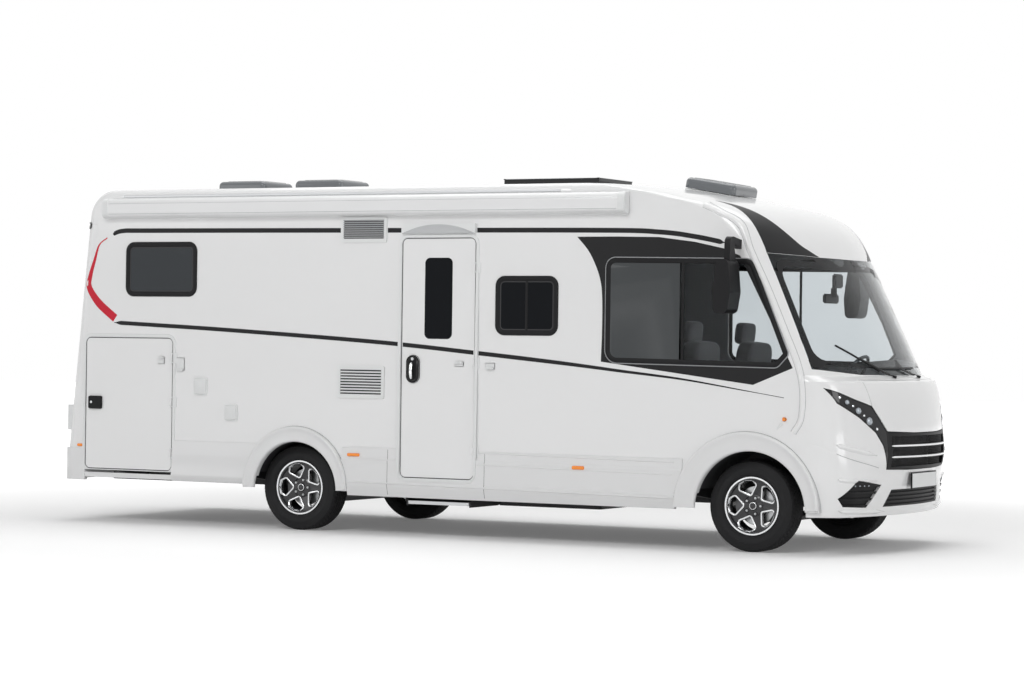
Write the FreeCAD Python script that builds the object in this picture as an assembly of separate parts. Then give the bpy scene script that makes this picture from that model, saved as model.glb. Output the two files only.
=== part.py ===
import FreeCAD, Part
import math
import os
from FreeCAD import Vector as V

# Integrated motorhome, right side towards -Y, front towards +X, ground at Z = 0.
# X = 0 is half way between the rear bumper and the nose.

doc = FreeCAD.newDocument("Motorhome")
sheet = doc.addObject("Spreadsheet::Sheet", "Sizes")

SIZES = [
    ("axle_rear_x", -1375, "rear axle from the middle of the vehicle"),
    ("wheelbase", 4035, "rear axle to front axle"),
    ("half_track", 930, "wheel centre plane from the middle"),
    ("tyre_radius", 350, "225/65 R16"),
    ("tyre_width", 225, "section width"),
    ("rim_radius", 222, "outside of the rim flange"),
    ("rim_width", 190, "over the flanges"),
    ("kingpin_inset", 60, "steering axis inboard of the wheel centre plane"),
    ("half_width", 1165, "body side from the middle"),
    ("wall_thick", 30, "sandwich wall, door and mask"),
    ("glass_thick", 8, "pane"),
    ("door_gap", 6, "gap round a door or lid"),
    ("roof_z", 2810, "top of the flat roof"),
    ("edge_radius", 70, "long roof edges and rear corners"),
    ("wall_top_z", 2740, "seam between wall and roof"),
    ("wall_low_z", 440, "lower edge of the wall panels"),
    ("rear_reach", 2310, "rear bumper behind the rear axle"),
    ("rear_wall_reach", 2183, "rear wall behind the rear axle at its reference height"),
    ("rear_ref_z", 1490, "reference height of the rear wall"),
    ("rear_lean", 0.1, "forward lean of the rear wall per unit of height"),
    ("rear_top_radius", 250, "rear wall into roof"),
    ("cab_joint_reach", -1500, "living area ends here, from the front axle"),
    ("floor_low_z", 470, "underside of the floor slab"),
    ("floor_thick", 60, "floor slab"),
    ("skirt_low_z", 312, "lower edge of the skirts"),
    ("skirt_top_z", 700, "upper edge of the skirts"),
    ("skirt_thick", 12, "skirt profile"),
    ("rear_arch_radius", 395, "inner edge of the rear arch"),
    ("rear_arch_ahead", 50, "rear arch centre ahead of its axle"),
    ("rear_arch_z", 335, "rear arch centre height"),
    ("front_arch_radius", 452, "inner edge of the front arch"),
    ("front_arch_ahead", 45, "front arch centre ahead of its axle"),
    ("front_arch_z", 318, "front arch centre height"),
    ("rear_trim_radius", 499, "outer edge of the rear arch trim"),
    ("front_trim_radius", 594, "outer edge of the front arch trim"),
    ("trim_proud", 20, "arch trim stands out of the wall"),
    ("door_front_x", 1699, "entrance door, front edge from the rear axle"),
    ("door_rear_x", 1039, "entrance door, rear edge from the rear axle"),
    ("door_low_z", 478, "entrance door, lower edge"),
    ("door_top_z", 2381, "entrance door, upper edge"),
    ("garage_front_x", -1186, "garage door, front edge from the rear axle"),
    ("garage_rear_x", -2064, "garage door, rear edge from the rear axle"),
    ("garage_low_z", 455, "garage door, lower edge"),
    ("garage_top_z", 1557, "garage door, upper edge"),
    ("hinge_out", 18, "door hinge pin outside the wall"),
    ("hinge_pin_radius", 3, "hinge pin"),
    ("pin_clearance", 0.3, "round a pin, spindle or runner"),
    ("barrel_radius", 7, "hinge barrel"),
    ("barrel_length", 60, "door hinge barrel"),
    ("lug_length", 12, "hinge lug beside its barrel"),
    ("hinge_plate", 5, "hinge plate on a door or wall"),
    ("hinge_plate_length", 48, "hinge plate from the pin"),
    ("seam_depth", 65, "side walls wrap this far round the corners"),
    ("rail_y", 430, "chassis rail from the middle"),
    ("rail_height", 140, "chassis rail"),
    ("rail_width", 70, "chassis rail"),
    ("rail_wall", 6, "chassis rail sheet"),
    ("rail_front_reach", 560, "rails end ahead of the front axle"),
    ("tow_hole_radius", 6.5, "bolt holes for a tow bar at the rear of each rail"),
    ("tow_reach", 130, "middle of those holes ahead of the rails' ends"),
    ("tow_spacing_x", 100, "tow bar bolts, along the rail"),
    ("tow_spacing_z", 60, "tow bar bolts, up the rail"),
    ("jack_x", 1000, "jack pads ahead of the rear axle"),
    ("jack_pad", 90, "jack pad along its rail"),
    ("jack_pad_thick", 8, "jack pad under its rail"),
    ("spindle_radius", 32.9, "wheel spindle"),
    ("disc_radius", 150, "brake disc"),
    ("disc_inset", 5, "brake disc inboard of the wheel centre plane"),
    ("disc_thick", 12, "brake disc"),
    ("rear_tube_reach", 200, "rear axle tube ahead of the wheel axis"),
    ("king_pin_radius", 12, "pins of the steering axis"),
    ("spoke_count", 5, "spokes of the alloy wheel"),
    ("vent_slats", 9, "slots of a refrigerator vent"),
    ("awning_low_z", 2580, "awning cassette, underside"),
    ("awning_top_z", 2735, "awning cassette, top"),
    ("awning_out", 100, "awning cassette out from the wall"),
    ("awning_rear_x", -1850, "awning cassette, rear end from the rear axle"),
    ("awning_front_x", 3040, "awning cassette, front end from the rear axle"),
    ("hatch_width", 400, "roof hatch opening"),
    ("hatch_rear_x", -1137, "rear roof hatch from the rear axle"),
    ("hatch_mid_x", -355, "middle roof hatch from the rear axle"),
    ("skylight_reach", -750, "front roof window from the front axle"),
    ("skylight_length", 360, "front roof window"),
    ("skylight_width", 400, "front roof window"),
    ("skylight_z", 2752, "roof height under the middle of the front roof window"),
    ("skylight_slope", 0.17, "fall of the roof there per unit of length"),
    ("mirror_x", 3937, "mirror from the rear axle"),
    ("mirror_out", 165, "mirror out from the body side"),
    ("steering_x", 190, "steering wheel ahead of the front axle"),
    ("steering_wheel_radius", 190, "steering wheel"),
    ("column_pin_radius", 12, "end of the steering column"),
    ("bulkhead_reach", 300, "bulkhead ahead of the front axle"),
    ("seat_reach", 420, "cab seats behind the front axle"),
    ("steering_z", 1330, "steering wheel centre"),
    ("driver_y", 520, "driver from the middle"),
    ("column_angle", 35, "steering column above the horizontal"),
    ("step_width", 560, "entry step"),
    ("step_depth", 260, "entry step tread"),
    ("step_low_z", 262, "entry step, underside"),
    ("step_thick", 26, "entry step"),
    ("step_inset", 30, "entry step's edge inside the wall face when stowed"),
    ("housing_sheet", 8, "wheel housing"),
    ("lid_rise", 30, "roof lid's edge over the roof"),
    ("lid_over", 40, "roof lid beyond its opening"),
    ("lid_height", 85, "roof lid"),
    ("lid_pin_reach", 12, "roof lid's hinge behind its edge"),
    ("bonnet_pin_x", 660, "bonnet hinge ahead of the front axle"),
    ("bonnet_pin_z", 1294, "bonnet hinge height"),
    ("bonnet_arm_y", 636, "bonnet hinge arm from the middle"),
    ("bonnet_arm_drop", 170, "bonnet hinge arm hangs this far under its pin"),
    ("bonnet_pin_radius", 5, "bonnet hinge pin"),
    ("cowl_gap", 10, "bonnet to the ledge under the screen"),
    ("cowl_reach", 887, "joint between bonnet and ledge ahead of the front axle"),
    ("cowl_z", 1317, "height of that joint in the middle"),
    ("rear_liner_y", 740, "inner wall of the rear wheel housing from the middle"),
    ("front_liner_y", 600, "inner wall of the front wheel housing from the middle"),
]
for row, (alias, value, note) in enumerate(SIZES, start=1):
    sheet.set(f"A{row}", note)
    sheet.set(f"B{row}", str(value))
    sheet.setAlias(f"B{row}", alias)
doc.recompute()


def size(name):
    """Value of one driving size, in millimetres."""
    return float(sheet.get(name))


AXLE_R = size("axle_rear_x")
AXLE_F = AXLE_R + size("wheelbase")
HALF = size("half_width")
WALL = size("wall_thick")
GAP = size("door_gap")
ROOF = size("roof_z")
JOINT_X = AXLE_F + size("cab_joint_reach")
TYRE_R = size("tyre_radius")
WALL_IN = HALF - WALL

nodes = {}


def keep(name, shape):
    """Store a finished shape as its own labelled object."""
    obj = doc.addObject("Part::Feature", name)
    obj.Label = name
    obj.Shape = shape
    nodes[name] = obj
    return obj


def box(x0, x1, y0, y1, z0, z1):
    return Part.makeBox(x1 - x0, y1 - y0, z1 - z0, V(x0, y0, z0))


def prism_xz(points, y0, y1):
    """Side-view polygon of (x, z) points carried from y0 to y1."""
    loop = [V(x, y0, z) for x, z in points]
    return Part.Face(Part.makePolygon(loop + loop[:1])).extrude(V(0, y1 - y0, 0))


def prism_yz(points, x0, x1):
    """Front-view polygon of (y, z) points carried from x0 to x1."""
    loop = [V(x0, y, z) for y, z in points]
    return Part.Face(Part.makePolygon(loop + loop[:1])).extrude(V(x1 - x0, 0, 0))


def rounded_polygon(points, radii):
    """Wire through 3-D points with each corner rounded by its own radius."""
    edges = []
    count = len(points)
    for i, point in enumerate(points):
        before, after = points[i - 1], points[(i + 1) % count]
        if radii[i] == 0:
            edges.append((point, None, point))
            continue
        a, b = (before - point).normalize(), (after - point).normalize()
        half = a.getAngle(b) / 2
        reach = radii[i] / math.tan(half)
        mid = point + (a + b).normalize() * (radii[i] / math.sin(half) - radii[i])
        edges.append((point + a * reach, mid, point + b * reach))
    wire = []
    for i, (start, mid, end) in enumerate(edges):
        if mid is not None:
            wire.append(Part.Arc(start, mid, end).toShape())
        nxt = edges[(i + 1) % count][0]
        if (nxt - end).Length > 1e-6:
            wire.append(Part.makeLine(end, nxt))
    return Part.Wire(wire)


def rounded_xz(points, radius, y0, y1):
    """Side-view polygon with rounded corners carried from y0 to y1."""
    radii = radius if isinstance(radius, (list, tuple)) else [radius] * len(points)
    wire = rounded_polygon([V(x, y0, z) for x, z in points], radii)
    return Part.Face(wire).extrude(V(0, y1 - y0, 0))


def rect(x0, x1, z0, z1):
    return [(x0, z0), (x1, z0), (x1, z1), (x0, z1)]


def mirror(shape):
    return shape.mirror(V(0, 0, 0), V(0, 1, 0))


def both(shape):
    """The shape and its image on the other side, as two solids."""
    return Part.makeCompound([shape, mirror(shape)])


def fuse(first, *rest):
    result = first
    for shape in rest:
        result = result.fuse(shape)
    return result.removeSplitter()


# The front: plan sections at rising heights, each a front arc and two corner arcs.
# height, reach ahead of the front axle, front radius, corner radius
BUMPER = [(290, 925, 3000, 350), (450, 955, 3000, 350), (632, 985, 2600, 325)]
NOSE = [(632, 985, 2600, 325), (740, 1024, 2100, 300), (930, 1015, 2000, 280),
        (1120, 985, 2150, 255), (1300, 930, 2300, 225)]
LEDGE = [(1300, 930, 2300, 225), (1346, 812, 2400, 220)]
SCREEN = [(1346, 812, 2400, 220), (1830, 575, 2450, 210), (2262, 355, 2500, 200)]
CAP = [(2262, 355, 2500, 200), (2350, 312, 2500, 200), (2450, 245, 2500, 200), (2550, 135, 2550, 200),
       (2612, 15, 2550, 200), (2655, -135, 2550, 200), (2692, -315, 2600, 200), (2740, -545, 2600, 200)]
# Above the wall seam the side turns into the roof: rise over the seam, reach
CAP_TOP = [(25, -690), (50, -850), (66, -1000), (70, -1085)]


def plan_wire(z, reach, front_r, corner_r, half):
    """Closed plan section of the front at one height."""
    nose = AXLE_F + reach
    cy = half - corner_r
    cx = nose - front_r + math.sqrt((front_r - corner_r) ** 2 - cy ** 2)
    lean = math.asin(cy / (front_r - corner_r))
    mid_lean = (lean + math.pi / 2) / 2
    centre = V(nose - front_r, 0, z)
    corner = V(cx, cy, z)
    tangent = centre + V(math.cos(lean), math.sin(lean), 0) * front_r
    bulge = corner + V(math.cos(mid_lean), math.sin(mid_lean), 0) * corner_r
    flank = V(cx, half, z)
    back = V(JOINT_X, half, z)

    def other(p):
        return V(p.x, -p.y, p.z)

    return Part.Wire([
        Part.makeLine(other(back), other(flank)),
        Part.Arc(other(flank), other(bulge), other(tangent)).toShape(),
        Part.Arc(other(tangent), V(nose, 0, z), tangent).toShape(),
        Part.Arc(tangent, bulge, flank).toShape(),
        Part.makeLine(flank, back),
        Part.makeLine(back, other(back)),
    ])


def inset_reach(curve, z, inset):
    """Reach of the centre line moved inwards along its normal, at a height."""
    moved = []
    for i, (height, reach) in enumerate(curve):
        (z0, r0), (z1, r1) = curve[max(i - 1, 0)], curve[min(i + 1, len(curve) - 1)]
        run = math.hypot(z1 - z0, r1 - r0)
        moved.append((height + inset * (r1 - r0) / run, reach - inset * (z1 - z0) / run))
    moved.sort()
    for (z0, r0), (z1, r1) in zip(moved, moved[1:]):
        if z0 <= z <= z1:
            return r0 + (r1 - r0) * (z - z0) / max(z1 - z0, 1e-6)
    return moved[0][1] if z < moved[0][0] else moved[-1][1]


CENTRE_LINE = [(z, reach) for z, reach, _, _ in BUMPER + NOSE[1:] + LEDGE[1:] + SCREEN[1:] + CAP[1:]]
CENTRE_LINE += [(size("wall_top_z") + rise, reach) for rise, reach in CAP_TOP]


def front_zone(stations, inset, ruled=False):
    """Solid of one height zone of the front, moved inwards by the inset."""
    wires = []
    for z, reach, fr, cr, *side in stations:
        side = side[0] if side else 0.0
        if inset:
            reach = inset_reach(CENTRE_LINE, z, inset)
        wires.append(plan_wire(z, reach, fr - inset, cr - inset, HALF - inset - side))
    return Part.makeLoft(wires, True, ruled)


def zone_shell(stations, ruled=False):
    return front_zone(stations, 0, ruled).cut(front_zone(stations, WALL, ruled))


def crown_shell():
    """Top of the roof cap, where the side turns in: the inside stops one wall below the roof."""
    edge, seam = size("edge_radius"), size("wall_top_z")
    outer, inner = [(*CAP[-1], 0.0)], [(*CAP[-1], 0.0)]
    for rise, reach in CAP_TOP:
        outer.append((seam + rise, reach, 2600, 200, edge - math.sqrt(max(edge ** 2 - rise ** 2, 0))))
        if rise < edge - WALL - 5:
            small = edge - WALL
            inner.append((seam + rise, reach, 2600, 200, small - math.sqrt(small ** 2 - rise ** 2)))
    inner.append((ROOF - WALL, inner[-1][1] - 100, 2600, 200, edge - WALL))
    return front_zone(outer, 0), front_zone(inner, WALL)


bumper_shell = zone_shell(BUMPER)
nose_shell = zone_shell(NOSE)
ledge_shell = zone_shell(LEDGE, True)
screen_shell = zone_shell(SCREEN)
screen_skin = front_zone(SCREEN, 0).cut(front_zone(SCREEN, size("glass_thick")))
cap_shell = zone_shell(CAP)
crown_block, crown_inside = crown_shell()
front_shells = [bumper_shell, nose_shell, ledge_shell, screen_shell, cap_shell, crown_block.cut(crown_inside)]

# Living area: side-view outline and end-view outline, crossed.
def rear_x(z, inset=0.0):
    """Outside of the rear wall at a height."""
    back = AXLE_R - size("rear_wall_reach") + inset
    return back + (z - size("rear_ref_z")) * size("rear_lean")


def living_solid(inset):
    """Living area outside, or that moved inwards, open in front when cut from each other."""
    top, low, half = ROOF - inset, WALL_LOW, HALF - inset
    solid = rounded_xz(
        [(rear_x(low, inset), low), (JOINT_X, low), (JOINT_X, top), (rear_x(top, inset), top)],
        [0, 0, 0, size("rear_top_radius") - inset], -half, half)
    rounded = []
    for edge in solid.Edges:
        middle = edge.valueAt((edge.FirstParameter + edge.LastParameter) / 2)
        ends_on_side = all(abs(abs(v.Y) - half) < 0.1 for v in edge.Vertexes)
        along_side = abs(edge.Vertexes[0].Y - edge.Vertexes[-1].Y) < 0.1
        if ends_on_side and along_side and middle.z > low + 1 and middle.x < JOINT_X - 1:
            rounded.append(edge)
    return solid.makeFillet(size("edge_radius") - inset, rounded)


WALL_TOP = size("wall_top_z")
WALL_LOW = size("wall_low_z")
living_outer = living_solid(0)
living_shell = living_outer.cut(living_solid(WALL))

# Seams in side view
mask_seam = [(x + AXLE_R, z) for x, z in (
    (3440, 2740), (3629, 2645), (3800, 2570), (3962, 2472), (4060, 2260), (4195, 1990),
    (4335, 1683), (4445, 1433), (4492, 1247), (4485, 1029), (4420, 900))]
EDGE = size("edge_radius")
rear_low = (rear_x(WALL_LOW) + EDGE + 40, WALL_LOW)
rear_high = (rear_x(2520) + EDGE + 40, 2520)
wall_outline = [rear_low, (AXLE_F + 385, WALL_LOW)] + mask_seam[::-1] + [
    (rear_high[0] + 170, WALL_TOP), (rear_high[0] + 50, 2660), rear_high]
wall_tool = prism_xz(wall_outline, -HALF - 5, -HALF + size("seam_depth"))
both_walls = wall_tool.fuse(mirror(wall_tool))


def arch_cut(radius, x, z, y0, y1):
    """Round opening over a wheel, open downwards."""
    tool = Part.makeCylinder(radius, y1 - y0, V(x, y0, z), V(0, 1, 0))
    return tool.fuse(box(x - radius, x + radius, y0, y1, z - 600, z))


REAR_ARCH = (size("rear_arch_radius"), AXLE_R + size("rear_arch_ahead"), size("rear_arch_z"))
FRONT_ARCH = (size("front_arch_radius"), AXLE_F + size("front_arch_ahead"), size("front_arch_z"))
arches = arch_cut(*REAR_ARCH, -HALF - 60, HALF + 60).fuse(arch_cut(*FRONT_ARCH, -HALF - 60, HALF + 60))

# Openings in the side walls
DOOR = rect(AXLE_R + size("door_rear_x"), AXLE_R + size("door_front_x"), size("door_low_z"),
            size("door_top_z"))
GARAGE = rect(AXLE_R + size("garage_rear_x"), AXLE_R + size("garage_front_x"), size("garage_low_z"),
              size("garage_top_z"))


def grown(rectangle, by):
    (x0, z0), (_, _), (x1, z1), (_, _) = rectangle
    return rect(x0 - by, x1 + by, z0 - by, z1 + by)


def ahead(rectangle_or_points):
    """Side-view points measured from the rear axle."""
    return [(AXLE_R + x, z) for x, z in rectangle_or_points]


CAB_WINDOW = ahead([(2862, 1428), (4283, 1410), (4367, 1500), (4068, 2205), (2862, 2218)])
CAB_WINDOW_R = [90, 55, 30, 70, 70]
BEDROOM_WINDOW = ahead(rect(-1649, -966, 1929, 2348))
LIVING_WINDOW = ahead(rect(1904, 2421, 1638, 2066))
right_windows = [(BEDROOM_WINDOW, 60), (LIVING_WINDOW, 60), (CAB_WINDOW, CAB_WINDOW_R)]
left_windows = [
    (BEDROOM_WINDOW, 60),
    (ahead(rect(490, 990, 1750, 2150)), 60),
    (ahead(rect(1490, 2440, 1500, 2066)), 60),
    (CAB_WINDOW, CAB_WINDOW_R),
]


def side_wall(windows, doors):
    """Right-hand wall panel with its openings."""
    parts = [shell.common(wall_tool) for shell in [living_shell] + front_shells]
    panel = fuse(*[p for p in parts if p.Solids])
    for outline, radius in windows:
        panel = panel.cut(rounded_xz(outline, radius, -HALF - 10, -WALL_IN + 10))
    for door, radius in doors:
        panel = panel.cut(rounded_xz(grown(door, GAP), radius, -HALF - 10, -WALL_IN + 10))
    return panel.cut(arches)


keep("side_wall_right", side_wall(right_windows, [(DOOR, 46), (GARAGE, 46)]))
keep("side_wall_left", mirror(side_wall(left_windows, [(GARAGE, 46)])))


def panes(windows):
    """Bonded panes that fill the openings, flush with the outside."""
    flat = box(-9000, JOINT_X, -HALF, -HALF + size("glass_thick"), WALL_LOW, WALL_TOP)
    result = []
    for outline, radius in windows:
        tool = rounded_xz(outline, radius, -HALF - 10, -HALF + 120)
        result.append(fuse(*[p for p in (flat.common(tool), screen_skin.common(tool)) if p.Solids]))
    return result


keep("side_windows", Part.makeCompound(
    [s for p in panes(right_windows) for s in p.Solids]
    + [mirror(s) for p in panes(left_windows) for s in p.Solids]))

# Rear wall, roof and front mask are what the shells have beside the side walls
rear_zone = box(-9000, rear_high[0] + 200, -HALF - 5, HALF + 5, 0, 2520)
below = box(-9000, 9000, -9000, 9000, 0, WALL_LOW)
keep("rear_wall", living_shell.common(rear_zone).cut(both_walls).cut(below))

HATCH_X = [AXLE_R + size("hatch_rear_x"), AXLE_R + size("hatch_mid_x")]
HATCH = size("hatch_width")
roof = living_shell.cut(both_walls).cut(rear_zone).cut(below)
for x in HATCH_X:
    roof = roof.cut(box(x - HATCH / 2, x + HATCH / 2, -HATCH / 2, HATCH / 2, 2700, 2900))
keep("roof_panel", roof)

# Front view outlines as (y, z)
screen = [(-1105, 1392), (-660, 1352), (0, 1346), (660, 1352), (1105, 1392),
          (1066, 2262), (520, 2244), (0, 2240), (-520, 2244), (-1066, 2262)]
bonnet = [(-818, 1400), (-800, 1326), (-752, 1122), (-604, 925), (-250, 912), (250, 912), (604, 925),
          (752, 1122), (800, 1326), (818, 1400)]
grille = [(-604, 925), (-608, 640), (-300, 632), (300, 632), (608, 640), (604, 925), (250, 912), (-250, 912)]
lamp = [(-1134, 1256), (-912, 1172), (-752, 1122), (-604, 925), (-608, 640), (-668, 822),
        (-735, 920), (-886, 1035), (-1070, 1140)]
bumper_top = [(-1200, 870), (-1111, 782), (-705, 660), (-608, 640), (-300, 632), (300, 632), (608, 640),
              (705, 660), (1111, 782), (1200, 870)]
NOSE0, NOSE1 = AXLE_F + 100, AXLE_F + 1500
bumper_zone = prism_yz(bumper_top + [(1200, 0), (-1200, 0)], FRONT_ARCH[1], NOSE1)
screen_tool = prism_yz(screen, AXLE_F - 400, NOSE1)


def behind_cowl(shift):
    """Everything behind the joint between bonnet and ledge, a face struck about the hinge."""
    reach, z, lean = size("cowl_reach") + shift, size("cowl_z"), 0.17
    below, over = 80, 90
    stations = [(z - below, reach + below * lean, 2350, 220), (z + over, reach - over * lean, 2350, 220)]
    return front_zone(stations, 0, True)


bonnet_tool = prism_yz(bonnet, NOSE0, NOSE1).cut(behind_cowl(-size("cowl_gap") / 2))
grille_tool = prism_yz(grille, NOSE0, NOSE1)
lamp_tool = prism_yz(lamp, NOSE0, NOSE1)
lamps_tool = lamp_tool.fuse(mirror(lamp_tool))

SKY_X = AXLE_F + size("skylight_reach")
SKY_L, SKY_W = size("skylight_length"), size("skylight_width")
skylight_cut = box(SKY_X - SKY_L / 2, SKY_X + SKY_L / 2, -SKY_W / 2, SKY_W / 2, 2500, 2900)


def solids_over(shape, volume):
    return [s for s in shape.Solids if s.Volume > volume]


def front_piece(shells, keep_in, cuts):
    """One piece of the front, from the zone shells it crosses."""
    parts = []
    for shell in shells:
        piece = shell.common(keep_in) if keep_in else shell
        for tool in cuts:
            if piece.Solids:
                piece = Part.makeCompound(piece.Solids).cut(tool)
        parts += piece.Solids
    return fuse(*parts)


PIN_X, PIN_Z, ARM_Y = AXLE_F + size("bonnet_pin_x"), size("bonnet_pin_z"), size("bonnet_arm_y")
BONNET_PIN = size("bonnet_pin_radius")
lug = fuse(prism_xz([(PIN_X - 14, PIN_Z - 14), (PIN_X + 14, PIN_Z - 14), (PIN_X + 75, PIN_Z + 32),
                     (PIN_X + 75, PIN_Z + 45), (PIN_X + 40, PIN_Z + 45), (PIN_X - 14, PIN_Z + 14)],
                    ARM_Y + 12, ARM_Y + 24),
           Part.makeCylinder(BONNET_PIN, 34, V(PIN_X, ARM_Y - 10, PIN_Z), V(0, 1, 0)))
under_walls = box(JOINT_X - 10, FRONT_ARCH[1], -HALF - 5, HALF + 5, 0, WALL_LOW)
mask = front_piece(front_shells, None, (
    both_walls, screen_tool, bonnet_tool, grille_tool, lamps_tool, bumper_zone, under_walls, arches,
    skylight_cut))
mask = fuse(*solids_over(mask, 1e6), lug, mirror(lug))
keep("front_mask", mask)
keep("windscreen", Part.makeCompound(front_piece(
    [screen_skin], screen_tool, ()).Solids))
headlamps = front_piece([nose_shell], lamps_tool, ()).Solids
FOG = [(-1072, 431), (-932, 567), (-643, 528), (-793, 358), (-1033, 370)]
INTAKE = [(-585, 358), (585, 358), (500, 487), (-500, 487)]
fog, intake = prism_yz(FOG, NOSE0, NOSE1), prism_yz(INTAKE, NOSE0, NOSE1)
bumper = front_piece([bumper_shell, nose_shell], bumper_zone, (arches, both_walls, intake, fog, mirror(fog)))
keep("front_bumper", Part.makeCompound(solids_over(bumper, 1e6)))
SLOT_H, SLOT_Y, SLOT_ZS = 62, 560, (662, 746, 830)
slots = [prism_yz([(-SLOT_Y, z), (SLOT_Y, z), (SLOT_Y, z + SLOT_H), (-SLOT_Y, z + SLOT_H)], NOSE0, NOSE1)
         for z in SLOT_ZS]
grille_face = front_piece([nose_shell, bumper_shell], grille_tool, slots)


def louvres(outline, slot_zs, slot_h):
    """Black insert in a bumper opening: a recessed back plate with slats in front of it."""
    zs = [z for _, z in outline]
    mid_y = (min(y for y, _ in outline) + max(y for y, _ in outline)) / 2
    mid_z = (min(zs) + max(zs)) / 2
    small = [(mid_y + (y - mid_y) * 0.985, mid_z + (z - mid_z) * 0.97) for y, z in outline]
    tool = prism_yz(small, NOSE0, NOSE1)
    back = front_zone(BUMPER, 22).cut(front_zone(BUMPER, WALL)).common(tool)
    slats = front_zone(BUMPER, 5).cut(front_zone(BUMPER, 24)).common(tool)
    for z in slot_zs:
        slats = slats.cut(box(NOSE0, NOSE1, -HALF, HALF, z, z + slot_h))
    return fuse(back, slats)


fog_insert = louvres(FOG, (380, 430, 480), 34)
intake_insert = louvres(INTAKE, (372, 402, 432, 462), 18)
keep("grille", Part.makeCompound([grille_face, fog_insert, mirror(fog_insert), intake_insert]))
BONNET_MID_Z = 1120
lid_tool = prism_yz([(y * 0.992, BONNET_MID_Z + (z - BONNET_MID_Z) * 0.97) for y, z in bonnet], NOSE0, NOSE1)
lid = front_piece([nose_shell, ledge_shell], lid_tool, (behind_cowl(size("cowl_gap") / 2),))
ARM_W, ARM_T = 20, 10
arm_low, arm_front = PIN_Z - size("bonnet_arm_drop"), AXLE_F + 872
lid_arm = fuse(Part.makeCylinder(14, ARM_T, V(PIN_X, ARM_Y, PIN_Z), V(0, 1, 0)),
               prism_xz([(PIN_X - ARM_W / 2, PIN_Z), (PIN_X - ARM_W / 2, arm_low), (arm_front, arm_low),
                         (arm_front, arm_low + ARM_W), (PIN_X + ARM_W / 2, arm_low + ARM_W),
                         (PIN_X + ARM_W / 2, PIN_Z)], ARM_Y, ARM_Y + ARM_T))
pin_hole = Part.makeCylinder(BONNET_PIN + size("pin_clearance"), 40, V(PIN_X, ARM_Y - 20, PIN_Z), V(0, 1, 0))
lid_arm = lid_arm.cut(pin_hole)
keep("bonnet", fuse(lid, lid_arm, mirror(lid_arm)))

# Hinges: barrels on the moving piece, lugs with the pin on the body
HINGE_Y = HALF + size("hinge_out")
PIN, PIN_BORE = size("hinge_pin_radius"), size("hinge_pin_radius") + size("pin_clearance")
BARREL, BARREL_HALF, LUG = size("barrel_radius"), size("barrel_length") / 2, size("lug_length")
PLATE, PLATE_L = size("hinge_plate"), size("hinge_plate_length")


def door_hinge(x, z):
    """Door's half and wall's half of one upright hinge on the right-hand side."""
    top = BARREL_HALF + 0.5 + LUG
    door_half = fuse(
        Part.makeCylinder(BARREL, 2 * BARREL_HALF, V(x, -HINGE_Y, z - BARREL_HALF)),
        box(x - BARREL, x, -HINGE_Y, -HALF, z - BARREL_HALF, z + BARREL_HALF),
        box(x - PLATE_L, x - GAP / 2, -HALF - PLATE, -HALF, z - BARREL_HALF, z + BARREL_HALF),
    ).cut(Part.makeCylinder(PIN_BORE, 4 * top, V(x, -HINGE_Y, z - 2 * top)))
    wall_parts = [Part.makeCylinder(PIN, 2 * top, V(x, -HINGE_Y, z - top)),
                  box(x + GAP / 2 + 1, x + PLATE_L, -HALF - PLATE, -HALF, z - top, z + top)]
    for z0 in (z - top, z + top - LUG):
        wall_parts.append(Part.makeCylinder(BARREL, LUG, V(x, -HINGE_Y, z0)))
        wall_parts.append(box(x + 1, x + BARREL + 4, -HINGE_Y, -HALF, z0, z0 + LUG))
    return door_half, fuse(*wall_parts).cut(box(x - 20, x + GAP / 2 + 0.5, -HALF - 1, 0, z - top, z + top))


def slab_door(door, corner, hinge_heights):
    """Right-hand door leaf with its hinge halves, and the halves left on the wall."""
    (_, _), (x1, _), (_, _), (_, _) = door
    halves = [door_hinge(x1 + GAP / 2, z) for z in hinge_heights]
    leaf = rounded_xz(door, corner, -HALF, -WALL_IN)
    return fuse(leaf, *[half for half, _ in halves]), [half for _, half in halves]


DOOR_WINDOW = ahead(rect(1243, 1495, 1583, 2229))
DOOR_HINGE_ZS = (700, 1400, 2150)
door_leaf, door_fixed = slab_door(DOOR, 40, DOOR_HINGE_ZS)
door_leaf = door_leaf.cut(rounded_xz(DOOR_WINDOW, 45, -HALF - 5, -WALL_IN + 5))
handle = rounded_xz(ahead(rect(1086, 1204, 1230, 1452)), 55, -HALF - 12, -HALF)
keep("entrance_door", fuse(door_leaf, handle))
keep("door_window", rounded_xz(DOOR_WINDOW, 45, -HALF, -HALF + size("glass_thick")))
garage_leaf, garage_fixed = slab_door(GARAGE, 40, (600, 1028, 1396))
garage_lock = rounded_xz(ahead(rect(-2030, -1900, 957, 1064)), 12, -HALF - 8, -HALF)
garage_door = fuse(garage_leaf, garage_lock)
keep("garage_door_right", garage_door)
keep("garage_door_left", mirror(garage_door))

# Chassis: two channel rails, cross members, outriggers and the carrier of the step
RAIL_Y, RAIL_H, RAIL_W, SHEET = size("rail_y"), size("rail_height"), size("rail_width"), size("rail_wall")
FLOOR = size("floor_low_z")
RAIL_LOW, RAIL_OUT = FLOOR - RAIL_H, RAIL_Y + RAIL_W
rail_rear_x, rail_front_x = rear_x(WALL_LOW) + WALL + 5, AXLE_F + size("rail_front_reach")
MEMBER_TOP, MEMBER_LOW = FLOOR - 20, FLOOR - 110
MEMBERS = [rail_rear_x + 30] + [AXLE_R + x for x in (-1200, -560, 620, 1500, 2400)]
MEMBERS += [AXLE_F - 560, AXLE_F + 500]
OUTRIGGERS = [AXLE_R + x for x in (-1900, -1200, -560, 620, 2540)] + [AXLE_F - 560]


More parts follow.
